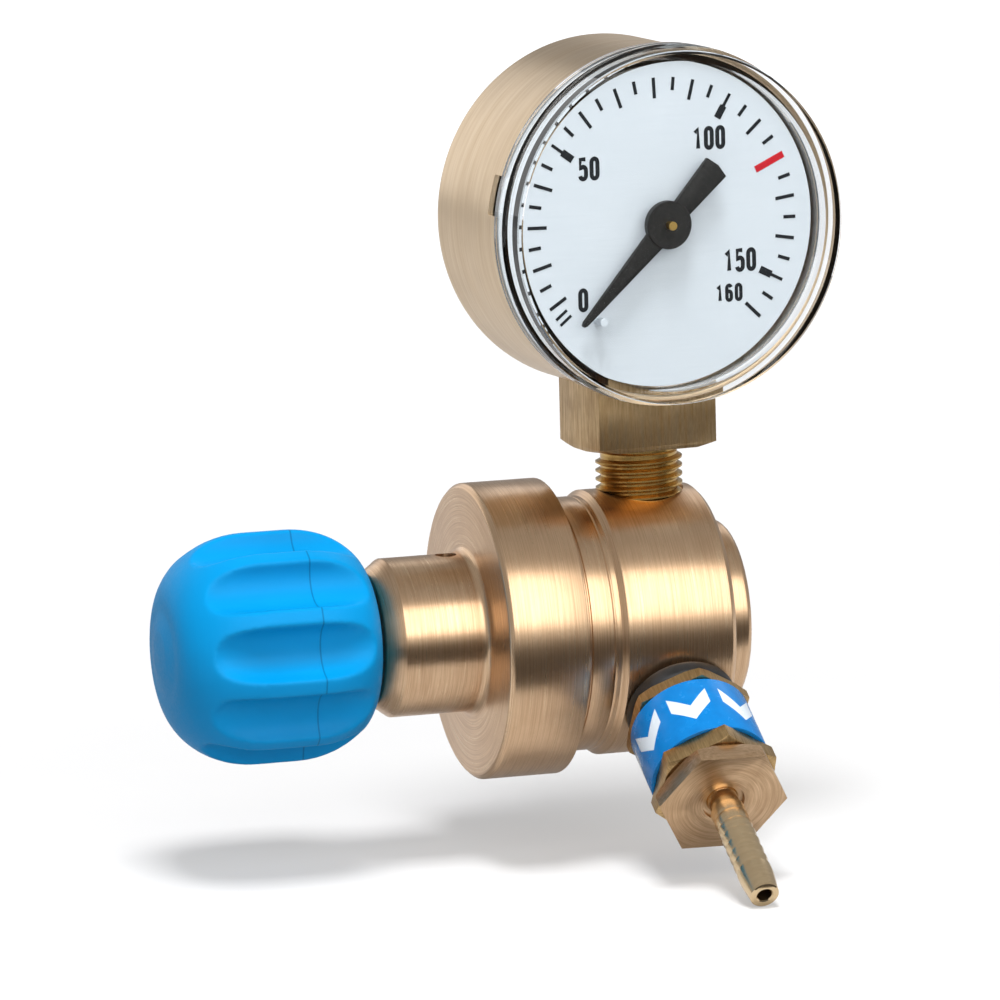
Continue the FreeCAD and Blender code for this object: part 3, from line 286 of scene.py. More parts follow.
def tool_marks(tree, centre, axis, along, around, outwards, detail=3.0, roughness=0.65):
    """Marks round an axis: they follow the height on a cylinder and the radius on an end face."""
    place, height, distance, direction = round_the_axis(tree, centre, axis)
    rise = scaled(tree, tuple(axis), arithmetic(tree, "MULTIPLY", height, along))
    rings = add_node(tree, "TexNoise", {"noise_dimensions": "4D"}, {
        "Vector": vector_sum(tree, "ADD", scaled(tree, direction, around), rise),
        "W": arithmetic(tree, "MULTIPLY", distance, outwards),
        "Scale": 1.0, "Detail": detail, "Roughness": roughness})
    return place, rings.outputs["Fac"], direction


def brass_skin(tree, base, grain, rough, smooth, bump, direction=None, brushed=0.0):
    """Metal whose grain shows in its polish and relief, and stretches its highlights round the axis."""
    sockets = {"Base Color": base, "Roughness": spread(tree, grain, 0.3, 0.7, rough, smooth),
               "Normal": bumped(tree, grain, bump), **METAL}
    if direction:
        sockets.update({"Anisotropic": brushed, "Anisotropic Rotation": 0.25, "Tangent": direction})
    principled(tree, sockets)


def turned_brass(name, centre, axis, light="#E6C6A2", dark="#C29E7C", fineness=9.0, drift=1.4,
                 roughness=0.29, bump=0.1):
    """Bar brass fresh from the lathe, a little dulled: fine rings, and faint blotches of tarnish."""
    material, tree = new_material(name)
    place, rings, direction = tool_marks(tree, centre, axis, fineness, drift, fineness)
    blotches = noise(tree, place, 210.0, 4.0, 0.6)
    marked = blend_of(tree, spread(tree, rings, 0.32, 0.68), colour(dark), colour(light))
    worn = blend_of(tree, spread(tree, blotches, 0.42, 0.75, 0.0, 0.45), marked, colour(dark))
    brass_skin(tree, worn, rings, roughness + 0.05, roughness - 0.03, bump, direction, 0.55)
    return material


inlet_brass = turned_brass("inlet_turned_brass", (0, 0, 0), main_axis)
inlet_connector = turned("inlet_flange", [
    (flange_radius - mouth_chamfer, 0), (flange_radius, -mouth_chamfer), (flange_radius, -flange_length),
    (shank_radius, -flange_length), (shank_radius, shank_end), (filter_way, shank_end),
    (filter_way, filter_end), (filter_radius, filter_end), (filter_radius, -inlet_depth),
    (inlet_major_radius, -inlet_depth), (inlet_major_radius, -mouth_chamfer),
    (inlet_major_radius + 0.4, 0)])
broken_edges(inlet_connector, 0.12)
inlet_thread = thread_ridge("inlet_thread", inlet_major_radius, inlet_minor_radius, 1.0, -4.1, 3)
settle(joined(inlet_connector, inlet_thread), main_place)
finished(inlet_connector, inlet_brass, "housing", "turned_brass", "inlet_connector")


# Regulator body: a short drum turned from brass bar, threaded at its front for the bonnet. The gauge
# screws into its top and the outlet's check valve into a flat on its lower front.

body_radius = 15.25
body_rear = -3.4
body_shoulder = -17.05
body_front = -25.5
body_thread_radius = 14.6
groove_station = -20.5
port_station = -9.83
gauge_port_floor = 9.2
outlet_port_floor = 8.6
port_radius = 5.05
spot_face_start = 14.9
spot_face_radius = 6.51
outlet_drop = math.radians(31.0)
thread_relief = 0.1
groove_depth = 0.2
diaphragm_seat = 11.5
diaphragm_floor = -21.5
valve_bore = 5.05
valve_floor = -15.2
seat_radius = 2.45
chamber_front = -14.2
chamber_radius = 4.5
chamber_rear = -8.6
shank_bore = 7.05
gas_way_radius = 1.0

outlet_axis = Vector((0, -math.cos(outlet_drop), -math.sin(outlet_drop)))
outlet_place = Matrix((
    (1, 0, 0, port_station),
    (0, -math.sin(outlet_drop), -math.cos(outlet_drop), 0),
    (0, math.cos(outlet_drop), -math.sin(outlet_drop), 0),
    (0, 0, 0, 1)))
upright_place = Matrix.Translation((port_station, 0, 0))


def rod(radius, low, high, place=None, sides=96):
    """Plain round bar, used as a cutter."""
    clear_selection()
    bpy.ops.mesh.primitive_cylinder_add(vertices=sides, radius=radius * MM, depth=(high - low) * MM,
                                        location=(0, 0, (low + high) / 2 * MM))
    tool = bpy.context.object
    bpy.ops.object.transform_apply()
    if place is not None:
        settle(tool, place)
    return tool


body_brass = turned_brass("body_turned_brass", (0, 0, 0), main_axis, fineness=8.0)
body = turned("body_drum", [
    (body_radius - 0.6, body_rear), (body_radius, body_rear - 0.6),
    (body_radius, body_shoulder + 0.65), (body_thread_radius, body_shoulder),
    (body_thread_radius, body_shoulder - 0.55),
    (body_thread_radius - thread_relief, body_shoulder - 0.65),
    (body_thread_radius - thread_relief, body_shoulder - 0.8),
    (body_thread_radius, body_shoulder - 0.9), (body_thread_radius, groove_station),
    (body_thread_radius - groove_depth, groove_station - 0.05),
    (body_thread_radius - groove_depth, groove_station - 0.25),
    (body_thread_radius, groove_station - 0.3), (body_thread_radius, body_front),
    (diaphragm_seat, body_front), (diaphragm_seat, diaphragm_floor), (valve_bore, diaphragm_floor),
    (valve_bore, valve_floor), (seat_radius, valve_floor), (seat_radius, chamber_front),
    (chamber_radius, chamber_front), (chamber_radius, chamber_rear), (shank_bore, chamber_rear),
    (shank_bore, body_rear)])
broken_edges(body, 0.1)
settle(body, main_place)
carve(body, rod(port_radius, gauge_port_floor, 20, upright_place))
carve(body, rod(gas_way_radius, 2, gauge_port_floor + 1, upright_place))
carve(body, rod(spot_face_radius, spot_face_start, 24, outlet_place))
carve(body, rod(port_radius, outlet_port_floor, 20, outlet_place))
settle(body, Matrix.Identity(4))
finished(body, body_brass, "housing", "turned_brass", "regulator_body")


# Bonnet: a turned brass cup that screws over the body's thread and clamps the diaphragm. Its neck
# holds the adjusting spring and carries the spindle's thread, with a vent hole through its top.

bonnet_radius = 17.0
bonnet_rear = -21.73
bonnet_front = -30.98
neck_radius = 9.1
neck_end = -42.83
neck_fillet = 1.0
neck_chamfer = (1.5, 2.0)
clamp_radius = 14.65
clamp_floor = -27.2
button_radius = 11.0
button_floor = -29.38
spring_radius = 6.4
spring_floor = -39.23
spindle_bore = 4.05
vent_station = -33.28
vent_radius = 1.25

bonnet_brass = turned_brass("bonnet_turned_brass", (0, 0, 0), main_axis, fineness=8.0)
fillet = [(neck_radius + neck_fillet * (1 - math.sin(step * math.pi / 10)),
           bonnet_front - neck_fillet * (1 - math.cos(step * math.pi / 10))) for step in range(6)]
bonnet = turned("bonnet_cup", [
    (clamp_radius, bonnet_rear), (bonnet_radius, bonnet_rear), (bonnet_radius, bonnet_front + 0.5),
    (bonnet_radius - 0.5, bonnet_front)] + fillet + [
    (neck_radius, neck_end + neck_chamfer[1]), (neck_radius - neck_chamfer[0], neck_end),
    (spindle_bore, neck_end), (spindle_bore, spring_floor), (spring_radius, spring_floor),
    (spring_radius, button_floor), (button_radius, button_floor), (button_radius, clamp_floor),
    (clamp_radius, clamp_floor)])
broken_edges(bonnet, 0.12)
settle(bonnet, main_place)
carve(bonnet, rod(vent_radius, 4, 12, Matrix.Translation((vent_station, 0, 0))))
settle(bonnet, Matrix.Identity(4))
finished(bonnet, bonnet_brass, "housing", "turned_brass", "bonnet")


# Adjusting spindle: a plated steel screw that turns in the bonnet's neck and pushes on the spring
# through a ball. Its plain end is pressed into the knob.

spindle_core = 3.55
spindle_crest = 4.0
spindle_low, spindle_high = (corner.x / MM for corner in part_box("adjusting_spindle"))
spindle_shank = 3.5
spindle_nose = 1.8
knob_rear = -43.27


def grained(name, first, second, scale, detail, smooth, rough, ramp=(0.0, 1.0), bump=0.0, reach=0.03,
            more=None):
    """Plain material whose colour and roughness both follow one fine grain."""
    material, tree = new_material(name)
    grain = noise(tree, own_place(tree), scale, detail)
    sockets = {"Base Color": blend_of(tree, spread(tree, grain, *ramp), colour(first), colour(second)),
               "Roughness": spread(tree, grain, 0.3, 0.7, smooth, rough), **(more or {})}
    if bump:
        sockets["Normal"] = bumped(tree, grain, bump, reach)
    principled(tree, sockets)
    return material


zinc_steel = grained("zinc_plated_steel", "#B9BCC0", "#DADCDD", 900.0, 3.0, 0.2, 0.34, more=METAL)
spindle = turned("adjusting_screw", [
    (POLE, spindle_low), (spindle_shank, spindle_low), (spindle_shank, knob_rear),
    (spindle_core, knob_rear), (spindle_core, spindle_high - spindle_nose),
    (2.6, spindle_high - spindle_nose), (2.6, spindle_high - 0.3),
    (2.3, spindle_high), (1.4, spindle_high), (1.1, spindle_high - 0.45), (POLE, spindle_high - 0.7)],
    bored=False, sides=72)
broken_edges(spindle, 0.08)
spindle_turns = int(spindle_high - spindle_nose - knob_rear - 1.2)
spindle_thread = thread_ridge("spindle_thread", spindle_core, spindle_crest, 1.0, knob_rear + 0.6,
                              spindle_turns)
settle(joined(spindle, spindle_thread), main_place)
finished(spindle, zinc_steel, "knob", "plated_steel", "adjusting_spindle")


# Adjusting knob: one blue plastic moulding, a long barrel with ten shallow finger flutes that fade
# out at both ends. The two halves of its mould leave a fine line round it.

knob_radius = 13.2
knob_front = -66.97
knob_crown = 0.6
front_face_radius = 5.0
front_length = 10.0
rear_face_radius = 7.0
rear_length = 8.7
flute_radius = 3.3
flute_depth = 2.6
flute_count = 10
flute_lead = 6.0
flute_low = knob_front + 4.5
flute_high = knob_rear - 2.4
parting_station = -51.5
knob_bore = 3.51
knob_bore_end = -57.28
knob_voxel = 0.2


def quarter(centre_radius, centre_height, across, along, start, end, steps=14):
    """Quarter of an ellipse, as (radius, height) points."""
    points = []
    for step in range(steps + 1):
        angle = math.radians(start + (end - start) * step / steps)
        points.append((centre_radius + across * math.cos(angle),
                       centre_height + along * math.sin(angle)))
    return points


def knob_plastic(name):
    """Blue moulded plastic, satin, with a fine grain and a hairline at the mould's joint."""
    material, tree = new_material(name)
    place = own_place(tree)
    grain = noise(tree, place, 2600.0, 3.0)
    cloud = noise(tree, place, 90.0, 2.0)
    station = add_node(tree, "SeparateXYZ", None, {"Vector": place}).outputs["X"]
    offset = arithmetic(tree, "ABSOLUTE", arithmetic(tree, "SUBTRACT", station, parting_station * MM))
    line = spread(tree, offset, 0.05 * MM, 0.13 * MM, 1.0, 0.0)
    blue = blend_of(tree, spread(tree, cloud, 0.35, 0.65), colour("#007FBA"), colour("#0284C1"))
    lined = blend_of(tree, arithmetic(tree, "MULTIPLY", line, 0.6), blue, colour("#014F78"))
    height = arithmetic(tree, "SUBTRACT", grain, arithmetic(tree, "MULTIPLY", line, 2.0))
    principled(tree, {
        "Base Color": lined, "Roughness": spread(tree, grain, 0.3, 0.7, 0.42, 0.54), "IOR": 1.49,
        "Specular IOR Level": 0.12,
        "Normal": bumped(tree, height, 0.12, 0.04)})
    return material


blue_plastic = knob_plastic("blue_knob_plastic")
knob_outline = [(POLE, knob_front - knob_crown), (2.5, knob_front - 0.75 * knob_crown)]
knob_outline += quarter(front_face_radius, knob_front + front_length, knob_radius - front_face_radius,
                        front_length, -90, 0)
knob_outline += quarter(rear_face_radius, knob_rear - rear_length, knob_radius - rear_face_radius,
                        rear_length, 0, 90)
knob_outline += [(POLE, knob_rear)]
knob = turned("fluted_knob", knob_outline, bored=False)
for number in range(flute_count):
    angle = math.radians(180 - flute_lead + 360 * number / flute_count)
    reach = knob_radius + flute_radius - flute_depth
    flute = turned("flute_cutter",
                   [(POLE, flute_low - flute_radius)]
                   + quarter(0, flute_low, flute_radius, flute_radius, -84, 0, 10)
                   + quarter(0, flute_high, flute_radius, flute_radius, 0, 84, 10)
                   + [(POLE, flute_high + flute_radius)], bored=False, sides=48)
    settle(flute, Matrix.Translation((reach * math.cos(angle), reach * math.sin(angle), 0)))
    carve(knob, flute)
apply_modifier(knob, "REMESH", mode="VOXEL", voxel_size=knob_voxel * MM)
apply_modifier(knob, "SMOOTH", factor=0.5, iterations=22)
carve(knob, rod(knob_bore, knob_bore_end, knob_rear + 1, sides=72))
settle(knob, main_place, angle=40)
finished(knob, blue_plastic, "knob", "blue_knob_plastic", "adjusting_knob")


# Outlet seal: a thick black rubber ring, squeezed between the body's flat and the check valve.

seal_end = 17.4
seal_radius = 6.45
seal_bore = 5.06
seal_round = 0.9

black_rubber = grained("black_rubber", "#141414", "#2A2A2C", 500.0, 4.0, 0.36, 0.55, ramp=(0.4, 0.75),
                       bump=0.1)
seal_corner = seal_radius - seal_round
seal = turned("outlet_seal_ring", [(seal_bore, spot_face_start)]
              + quarter(seal_corner, spot_face_start + seal_round, seal_round, seal_round, -90, 0, 6)
              + quarter(seal_corner, seal_end - seal_round, seal_round, seal_round, 0, 90, 6)
              + [(seal_bore, seal_end)])
settle(seal, outlet_place)
finished(seal, black_rubber, "housing", "black_rubber", "outlet_seal")


# Check valve body: brass hexagon bar turned down to a round barrel between two narrow hexagons.
# It screws into the outlet port, and the hose connector screws into its far end.

hexagon_width = 13.0
hexagon_turn = 27.5
first_hexagon_end = 19.0
barrel_radius = 6.45
second_hexagon_start = 27.6
second_hexagon_end = 29.8
hexagon_chamfer_radius = 6.8
hexagon_slope = math.tan(math.radians(30))
valve_tail = 11.2
valve_tail_radius = 5.0
valve_shoulder = 17.39
core_radius = 6.3
connector_bore = 4.55
connector_floor = 22.5
cavity_radius = 3.5
cavity_floor = 13.4
valve_way = 1.3


def hexagon(name, width, low, high, turn, low_side, high_side):
    """Six-sided nut with the corners turned off at the ends that are named."""
    clear_selection()
    corner = width / math.sqrt(3)
    bpy.ops.mesh.primitive_cylinder_add(vertices=6, radius=corner * MM, depth=(high - low) * MM,
                                        location=(0, 0, (low + high) / 2 * MM),
                                        rotation=(0, 0, math.radians(turn - 30)))
    nut = bpy.context.object
    nut.name = nut.data.name = name
    bpy.ops.object.transform_apply()
    reach = corner + 0.5
    drop = (reach - hexagon_chamfer_radius) * hexagon_slope
    chamfer = hexagon_chamfer_radius
    outline = [(POLE, low - HAIR)]
    outline += [(chamfer, low - HAIR), (reach, low + drop)] if low_side else [(reach, low - 0.5)]
    outline += [(reach, high - drop), (chamfer, high + HAIR)] if high_side else [(reach, high + 0.5)]
    outline += [(POLE, high + HAIR)]
    carve(nut, turned("corner_cutter", outline, bored=False), "INTERSECT")
    return nut


def drawn_brass(name, centre, axis, light="#DDBD88", dark="#A68459"):
    """Hexagon bar as drawn: long fine grain on the flats, rings where the lathe faced the ends."""
    material, tree = new_material(name)
    place, grain, _ = tool_marks(tree, centre, axis, 0.5, 34.0, 2.0, detail=4.0, roughness=0.7)
    blotches = noise(tree, place, 330.0, 4.0)
    streaked = blend_of(tree, spread(tree, grain, 0.3, 0.7), colour(dark), colour(light))
    worn = blend_of(tree, spread(tree, blotches, 0.45, 0.8, 0.0, 0.5), streaked, colour(dark))
    brass_skin(tree, worn, grain, 0.42, 0.3, 0.2)
    return material


outlet_centre = (port_station, 0, 0)
valve_brass = drawn_brass("check_valve_drawn_brass", outlet_centre, outlet_axis)
valve_body = turned("check_valve_barrel", [
    (valve_way, valve_tail), (valve_tail_radius, valve_tail), (valve_tail_radius, valve_shoulder),
    (core_radius, valve_shoulder), (core_radius, 18.9), (barrel_radius, 18.95), (barrel_radius, 27.65),
    (core_radius, 27.7), (core_radius, 29.75), (connector_bore, 29.75),
    (connector_bore, connector_floor), (cavity_radius, connector_floor), (cavity_radius, cavity_floor),
    (valve_way, cavity_floor)])
for low, high, at_start in ((seal_end, first_hexagon_end, True),
                            (second_hexagon_start, second_hexagon_end, False)):
    nut = hexagon("valve_nut", hexagon_width, low, high, hexagon_turn, at_start, not at_start)
    carve(nut, rod(5.6, low - 1, high + 1))
    broken_edges(nut, 0.07)
    joined(valve_body, nut)
settle(valve_body, outlet_place)
finished(valve_body, valve_brass, "housing", "turned_brass", "check_valve_body")


# Band: blue gloss film wrapped round the check valve's barrel. Plain white chevrons on it point
# the way that the gas flows.

band_low = 19.1
band_high = 27.5
band_inner = 6.47
band_outer = 7.02
chevron_pitch = 6.3


def printed_film(name):
    """Glossy blue film with a row of white chevrons printed round it."""
    material, tree = new_material(name)
    place, height, distance, direction = round_the_axis(tree, outlet_centre, outlet_axis)
    sideways = vector_sum(tree, "DOT_PRODUCT", direction, (1, 0, 0))
    upwards = vector_sum(tree, "DOT_PRODUCT", direction, tuple(outlet_axis.cross(Vector((1, 0, 0)))))
    angle = arithmetic(tree, "ARCTAN2", sideways, upwards)
    count = round(2 * math.pi * band_outer / chevron_pitch)
    share = arithmetic(tree, "MULTIPLY", arithmetic(tree, "ADD", angle, math.pi), count / (2 * math.pi))
    tooth = arithmetic(tree, "FRACT", arithmetic(tree, "ADD", share, 0.1))
    off_middle = arithmetic(tree, "ABSOLUTE", arithmetic(tree, "SUBTRACT", tooth, 0.5))
    level = spread(tree, height, band_low, band_high)
    slanted = arithmetic(tree, "ADD", level, arithmetic(tree, "MULTIPLY", off_middle, 0.75))
    front_edge = spread(tree, slanted, 0.745, 0.755, 1.0, 0.0)
    rear_edge = spread(tree, slanted, 0.475, 0.485)
    side_edge = spread(tree, off_middle, 0.37, 0.38, 1.0, 0.0)
    printed = arithmetic(tree, "MULTIPLY", arithmetic(tree, "MULTIPLY", front_edge, rear_edge), side_edge)
    wear = noise(tree, place, 700.0, 4.0)
    ink = blend_of(tree, spread(tree, wear, 0.3, 0.7), colour("#0568AC"), colour("#0872B8"))
    principled(tree, {
        "Base Color": blend_of(tree, printed, ink, colour("#C8D2DC")),
        "Roughness": spread(tree, wear, 0.3, 0.7, 0.2, 0.3), "IOR": 1.49, "Specular IOR Level": 0.25,
        "Normal": bumped(tree, wear, 0.05)})
    return material


blue_film = printed_film("blue_band_plastic")
band = turned("flow_band", [(band_inner, band_low), (band_outer, band_low), (band_outer, band_high),
                            (band_inner, band_high)])
broken_edges(band, 0.12, segments=3)
settle(band, outlet_place)
finished(band, blue_film, "housing", "blue_band_plastic", "label_sleeve")


# Outlet connector: a brass nut and hose barb in one turned piece. Its thread goes into the check
# valve, and a soft hose is pushed over the seven ridges.

nut_width = 13.2
nut_turn = -1.2
nut_start = 30.1
nut_end = 32.4
barb_end = 48.1
barb_root = 1.7
barb_crest = 1.975
barb_tip = 1.6
barb_bore = 0.85
ridge_count = 7
ridge_pitch = 1.45
nose_length = 4.1
recess_radius = 2.45
recess_depth = 0.6
spigot_start = 22.6
spigot_radius = 4.4
gasket_pocket_radius = 3.6

connector_brass = turned_brass("connector_turned_brass", outlet_centre, outlet_axis, light="#DDBD99",
                               dark="#B4926F", fineness=6.0, drift=1.2, roughness=0.33, bump=0.14)
barb_brass = turned_brass("barb_turned_brass", outlet_centre, outlet_axis, light="#EED6AE",
                          dark="#DCC096", fineness=16.0, roughness=0.2, bump=0.03)
nut = hexagon("connector_nut", nut_width, nut_start, nut_end, nut_turn, True, False)
carve(nut, rod(gasket_pocket_radius, nut_start - 1, nut_end - 1.4))
carve(nut, rod(recess_radius, nut_end - recess_depth, nut_end + 1))
carve(nut, rod(barb_bore + 0.2, nut_start, nut_end))
broken_edges(nut, 0.1)
spigot = turned("connector_spigot", [
    (barb_bore, spigot_start), (spigot_radius - 0.3, spigot_start), (spigot_radius, spigot_start + 0.3),
    (spigot_radius, nut_start + 0.4), (barb_bore, nut_start + 0.4)])
settle(joined(nut, spigot), outlet_place)
finished(nut, connector_brass, "housing", "turned_brass", "outlet_connector")

nose = barb_end - nose_length
first_ridge = nose - ridge_count * ridge_pitch
recess_floor = nut_end - recess_depth
barb_outline = [(barb_bore, recess_floor - 0.4), (barb_root + 0.25, recess_floor - 0.1),
                (barb_root + 0.05, recess_floor + 0.2), (barb_root, first_ridge)]
for number in range(ridge_count):
    base = first_ridge + number * ridge_pitch
    barb_outline += [(barb_crest - 0.05, base + 0.02), (barb_crest, base + 0.08),
                     (barb_crest, base + 0.25 * ridge_pitch),
                     (barb_root + 0.06, base + 0.97 * ridge_pitch)]
barb_outline += [(barb_crest - 0.05, nose), (barb_crest, nose + 0.08),
                 (barb_crest, nose + 0.3 * nose_length), (barb_tip + 0.06, barb_end - 0.08),
                 (barb_tip - 0.1, barb_end), (barb_bore + 0.12, barb_end), (barb_bore, barb_end - 0.12)]
barb = turned("hose_barb", barb_outline, sides=96)
settle(barb, outlet_place)
finished(barb, barb_brass, "housing", "turned_brass")


# Gauge socket: square brass bar, its lower corners turned off, with the pipe thread below that
# screws into the body and a tongue above, inside the case, that carries the movement.

gauge_turn = math.radians(5.76)
gauge_height = 46.6
gauge_across = Vector((math.cos(gauge_turn), math.sin(gauge_turn), 0))
gauge_forwards = Vector((math.sin(gauge_turn), -math.cos(gauge_turn), 0))
gauge_place = Matrix((
    (gauge_across.x, 0, gauge_forwards.x, port_station),
    (gauge_across.y, 0, gauge_forwards.y, 0),
    (0, 1, 0, gauge_height),
    (0, 0, 0, 1)))
stem_place = Matrix((
    (gauge_across.x, -gauge_forwards.x, 0, port_station),
    (gauge_across.y, -gauge_forwards.y, 0, 0),
    (0, 0, 1, 0),
    (0, 0, 0, 1)))

socket_width = 14.6
socket_depth = 11.2
socket_low = 20.2
socket_top = 29.4
tongue_top = 36.1
tongue_thickness = 5.6
stub_crest = 5.0
stub_core = 4.42
stub_low = 10.4
corner_start = 7.45
corner_slope = math.tan(math.radians(17))


def block(name, x_low, x_high, y_low, y_high, z_low, z_high):
    """Squared bar between six planes."""
    clear_selection()
    bpy.ops.mesh.primitive_cube_add(size=MM, location=((x_low + x_high) / 2 * MM, (y_low + y_high) / 2 * MM,
                                                       (z_low + z_high) / 2 * MM))
    made = bpy.context.object
    made.name = made.data.name = name
    made.scale = (x_high - x_low, y_high - y_low, z_high - z_low)
    bpy.ops.object.transform_apply()
    return made


def bar_brass(name):
    """Drawn square bar: upright grain, duller and greener than the turned pieces."""
    material, tree = new_material(name)
    grain = noise(tree, stretched_place(tree, (1.0, 1.0, 0.06)), 3200.0, 4.0, 0.7)
    blotches = noise(tree, own_place(tree), 300.0, 5.0)
    streaked = blend_of(tree, spread(tree, grain, 0.32, 0.68), colour("#A8875B"), colour("#D8BC92"))
    worn = blend_of(tree, spread(tree, blotches, 0.45, 0.8, 0.0, 0.55), streaked, colour("#927652"))
    brass_skin(tree, worn, grain, 0.46, 0.32, 0.25)
    return material


socket_brass = bar_brass("socket_bar_brass")
half_width, half_depth = socket_width / 2, socket_depth / 2
socket = block("socket_block", -half_width, half_width, -half_depth, half_depth, socket_low, socket_top)
corner_reach = math.hypot(socket_width, socket_depth) / 2 + 0.5
corner_rise = (corner_reach - corner_start) * corner_slope
carve(socket, turned("corner_cutter", [
    (POLE, socket_low - HAIR), (corner_start, socket_low - HAIR), (corner_reach, socket_low + corner_rise),
    (corner_reach, 60), (POLE, 60)], bored=False), "INTERSECT")
broken_edges(socket, 0.12)
tongue = block("socket_tongue", -half_width, half_width, 0, tongue_thickness, socket_top - 0.01,
               tongue_top)
broken_edges(tongue, 0.1)
settle(joined(socket, tongue), stem_place)
finished(socket, socket_brass, "housing", "turned_brass", "gauge_socket")

thread_brass = turned_brass("stub_thread_brass", outlet_centre, Vector((0, 0, 1)), light="#E4C078",
                            dark="#A8844A", fineness=4.0, roughness=0.24)
stub = turned("gauge_stub", [
    (gas_way_radius, stub_low), (stub_core - 0.3, stub_low), (stub_core, stub_low + 0.4),
    (stub_core, socket_low - 0.7), (stub_core - 0.2, socket_low - 0.5),
    (stub_core - 0.2, socket_low + 0.05), (gas_way_radius, socket_low + 0.05)])
stub_thread = thread_ridge("stub_ridge", stub_core, stub_crest, 1.0, stub_low + 0.5, 8)
settle(joined(stub, stub_thread), stem_place)
finished(stub, thread_brass, "housing", "turned_brass")


# Gauge case: a drawn brass cup with a satin skin. The socket comes out through its bottom, two
# screws hold it from behind, and a small notch in its rim lets pressure out.

case_radius = 20.1
case_wall = 0.6
case_rear = -11.1
case_front = 7.6
case_round = 1.6
notch_width = 4.6
notch_depth = 3.0
notch_angle = math.radians(167.5)
opening_play = 0.05
screw_hole_radius = 1.01
screw_reach = 4.5
screw_level = -15.2


def satin_brass(name, centre, axis):
    """Spun brass sheet with a clear lacquer: soft rings and a warm, even glow."""
    material, tree = new_material(name)
    place, rings, direction = tool_marks(tree, centre, axis, 2.5, 1.6, 2.5)
    cloud = noise(tree, place, 120.0, 3.0)
    warm = blend_of(tree, spread(tree, rings, 0.3, 0.7), colour("#D6BC9A"), colour("#E6D0B2"))
    worn = blend_of(tree, spread(tree, cloud, 0.45, 0.75, 0.0, 0.35), warm, colour("#C2AA8C"))
    brass_skin(tree, worn, rings, 0.38, 0.3, 0.08, direction, 0.3)
    return material


gauge_centre = (port_station, 0, gauge_height)
case_brass = satin_brass("case_satin_brass", gauge_centre, gauge_forwards)
inside = case_radius - case_wall
case_outline = [(POLE, case_rear)]
case_outline += quarter(case_radius - case_round, case_rear + case_round, case_round, case_round,
                        -90, 0, 8)
case_outline += [(case_radius, case_front - 0.12), (case_radius - 0.12, case_front),
                 (inside + 0.12, case_front), (inside, case_front - 0.12)]
case_outline += quarter(case_radius - case_round, case_rear + case_round, case_round - case_wall,
                        case_round - case_wall, 0, -90, 8)
case_outline += [(POLE, case_rear + case_wall)]
case = turned("gauge_cup", case_outline, bored=False, sides=192)
carve(case, block("socket_opening", -half_width - opening_play, half_width + opening_play, -22, -12,
                  -half_depth - opening_play, half_depth + opening_play))
notch = block("notch_cutter", case_radius / 2, case_radius + 2, -notch_width / 2, notch_width / 2,
              case_front - notch_depth, case_front + 1)
settle(notch, Matrix.Rotation(notch_angle, 4, "Z"))
carve(case, notch)
for side in (-1, 1):
    screw_place = Matrix.Translation((side * screw_reach, screw_level, 0))
    carve(case, rod(screw_hole_radius, case_rear - 1, case_rear + 1, screw_place, sides=32))
settle(case, gauge_place)
finished(case, case_brass, "housing", "gauge_brass", "gauge_case")


# Dial: a white painted disc behind the window. Its scale runs from 0 to 160 bar, with a thin and a
# thick line at each fifty and a red line at the filling limit.

dial_face = 7.0
scale_outer = 16.67
scale_long = 14.31
scale_short = 15.17
zero_angle = 229.16
degrees_per_bar = 1.7071
limit_pressure = 120
fifty_block_inner = 13.55
last_line_inner = 14.2
zero_lines_angle = 218.4
zero_lines = (15.05, 16.75)
limit_line_ends = (12.9, 16.75)
stroke = 0.51
proud = 0.03
tall = 2.75


def dial_mark(name, angle, inner, outer, width, shift=0.0):
    """One straight line of the scale, as a thin printed bar on the dial."""
    bar = block(name, inner, outer, -width / 2 + shift, width / 2 + shift, dial_face, dial_face + proud)
    pick(bar)
    bar.matrix_world = Matrix.Rotation(math.radians(angle), 4, "Z")
    bpy.ops.object.transform_apply()
    return bar


def arc(centre_x, centre_y, radius_x, radius_y, start, end, steps=10):
    points = []
    for step in range(steps + 1):
        angle = math.radians(start + (end - start) * step / steps)
        points.append((centre_x + radius_x * math.cos(angle), centre_y + radius_y * math.sin(angle)))
    return points


def digit_line(digit):
    """Middle line of a narrow digit in a box one wide and two and a half high, and whether it closes."""
    if digit == "0":
        return arc(0.5, 2.0, 0.5, 0.5, 0, 180) + arc(0.5, 0.5, 0.5, 0.5, 180, 360), True
    if digit == "1":
        return [(0.1, 2.0), (0.6, 2.5), (0.6, 0.0)], False
    if digit == "5":
        return ([(0.95, 2.5), (0.08, 2.5), (0.03, 1.35)] + arc(0.5, 1.05, 0.5, 0.5, 128, 0)
                + arc(0.5, 0.5, 0.5, 0.5, 0, -170)), False
    return (arc(0.5, 2.0, 0.5, 0.5, 20, 180) + arc(0.5, 0.5, 0.5, 0.5, 180, 360)
            + arc(0.5, 1.0, 0.5, 0.5, 0, 172)), False


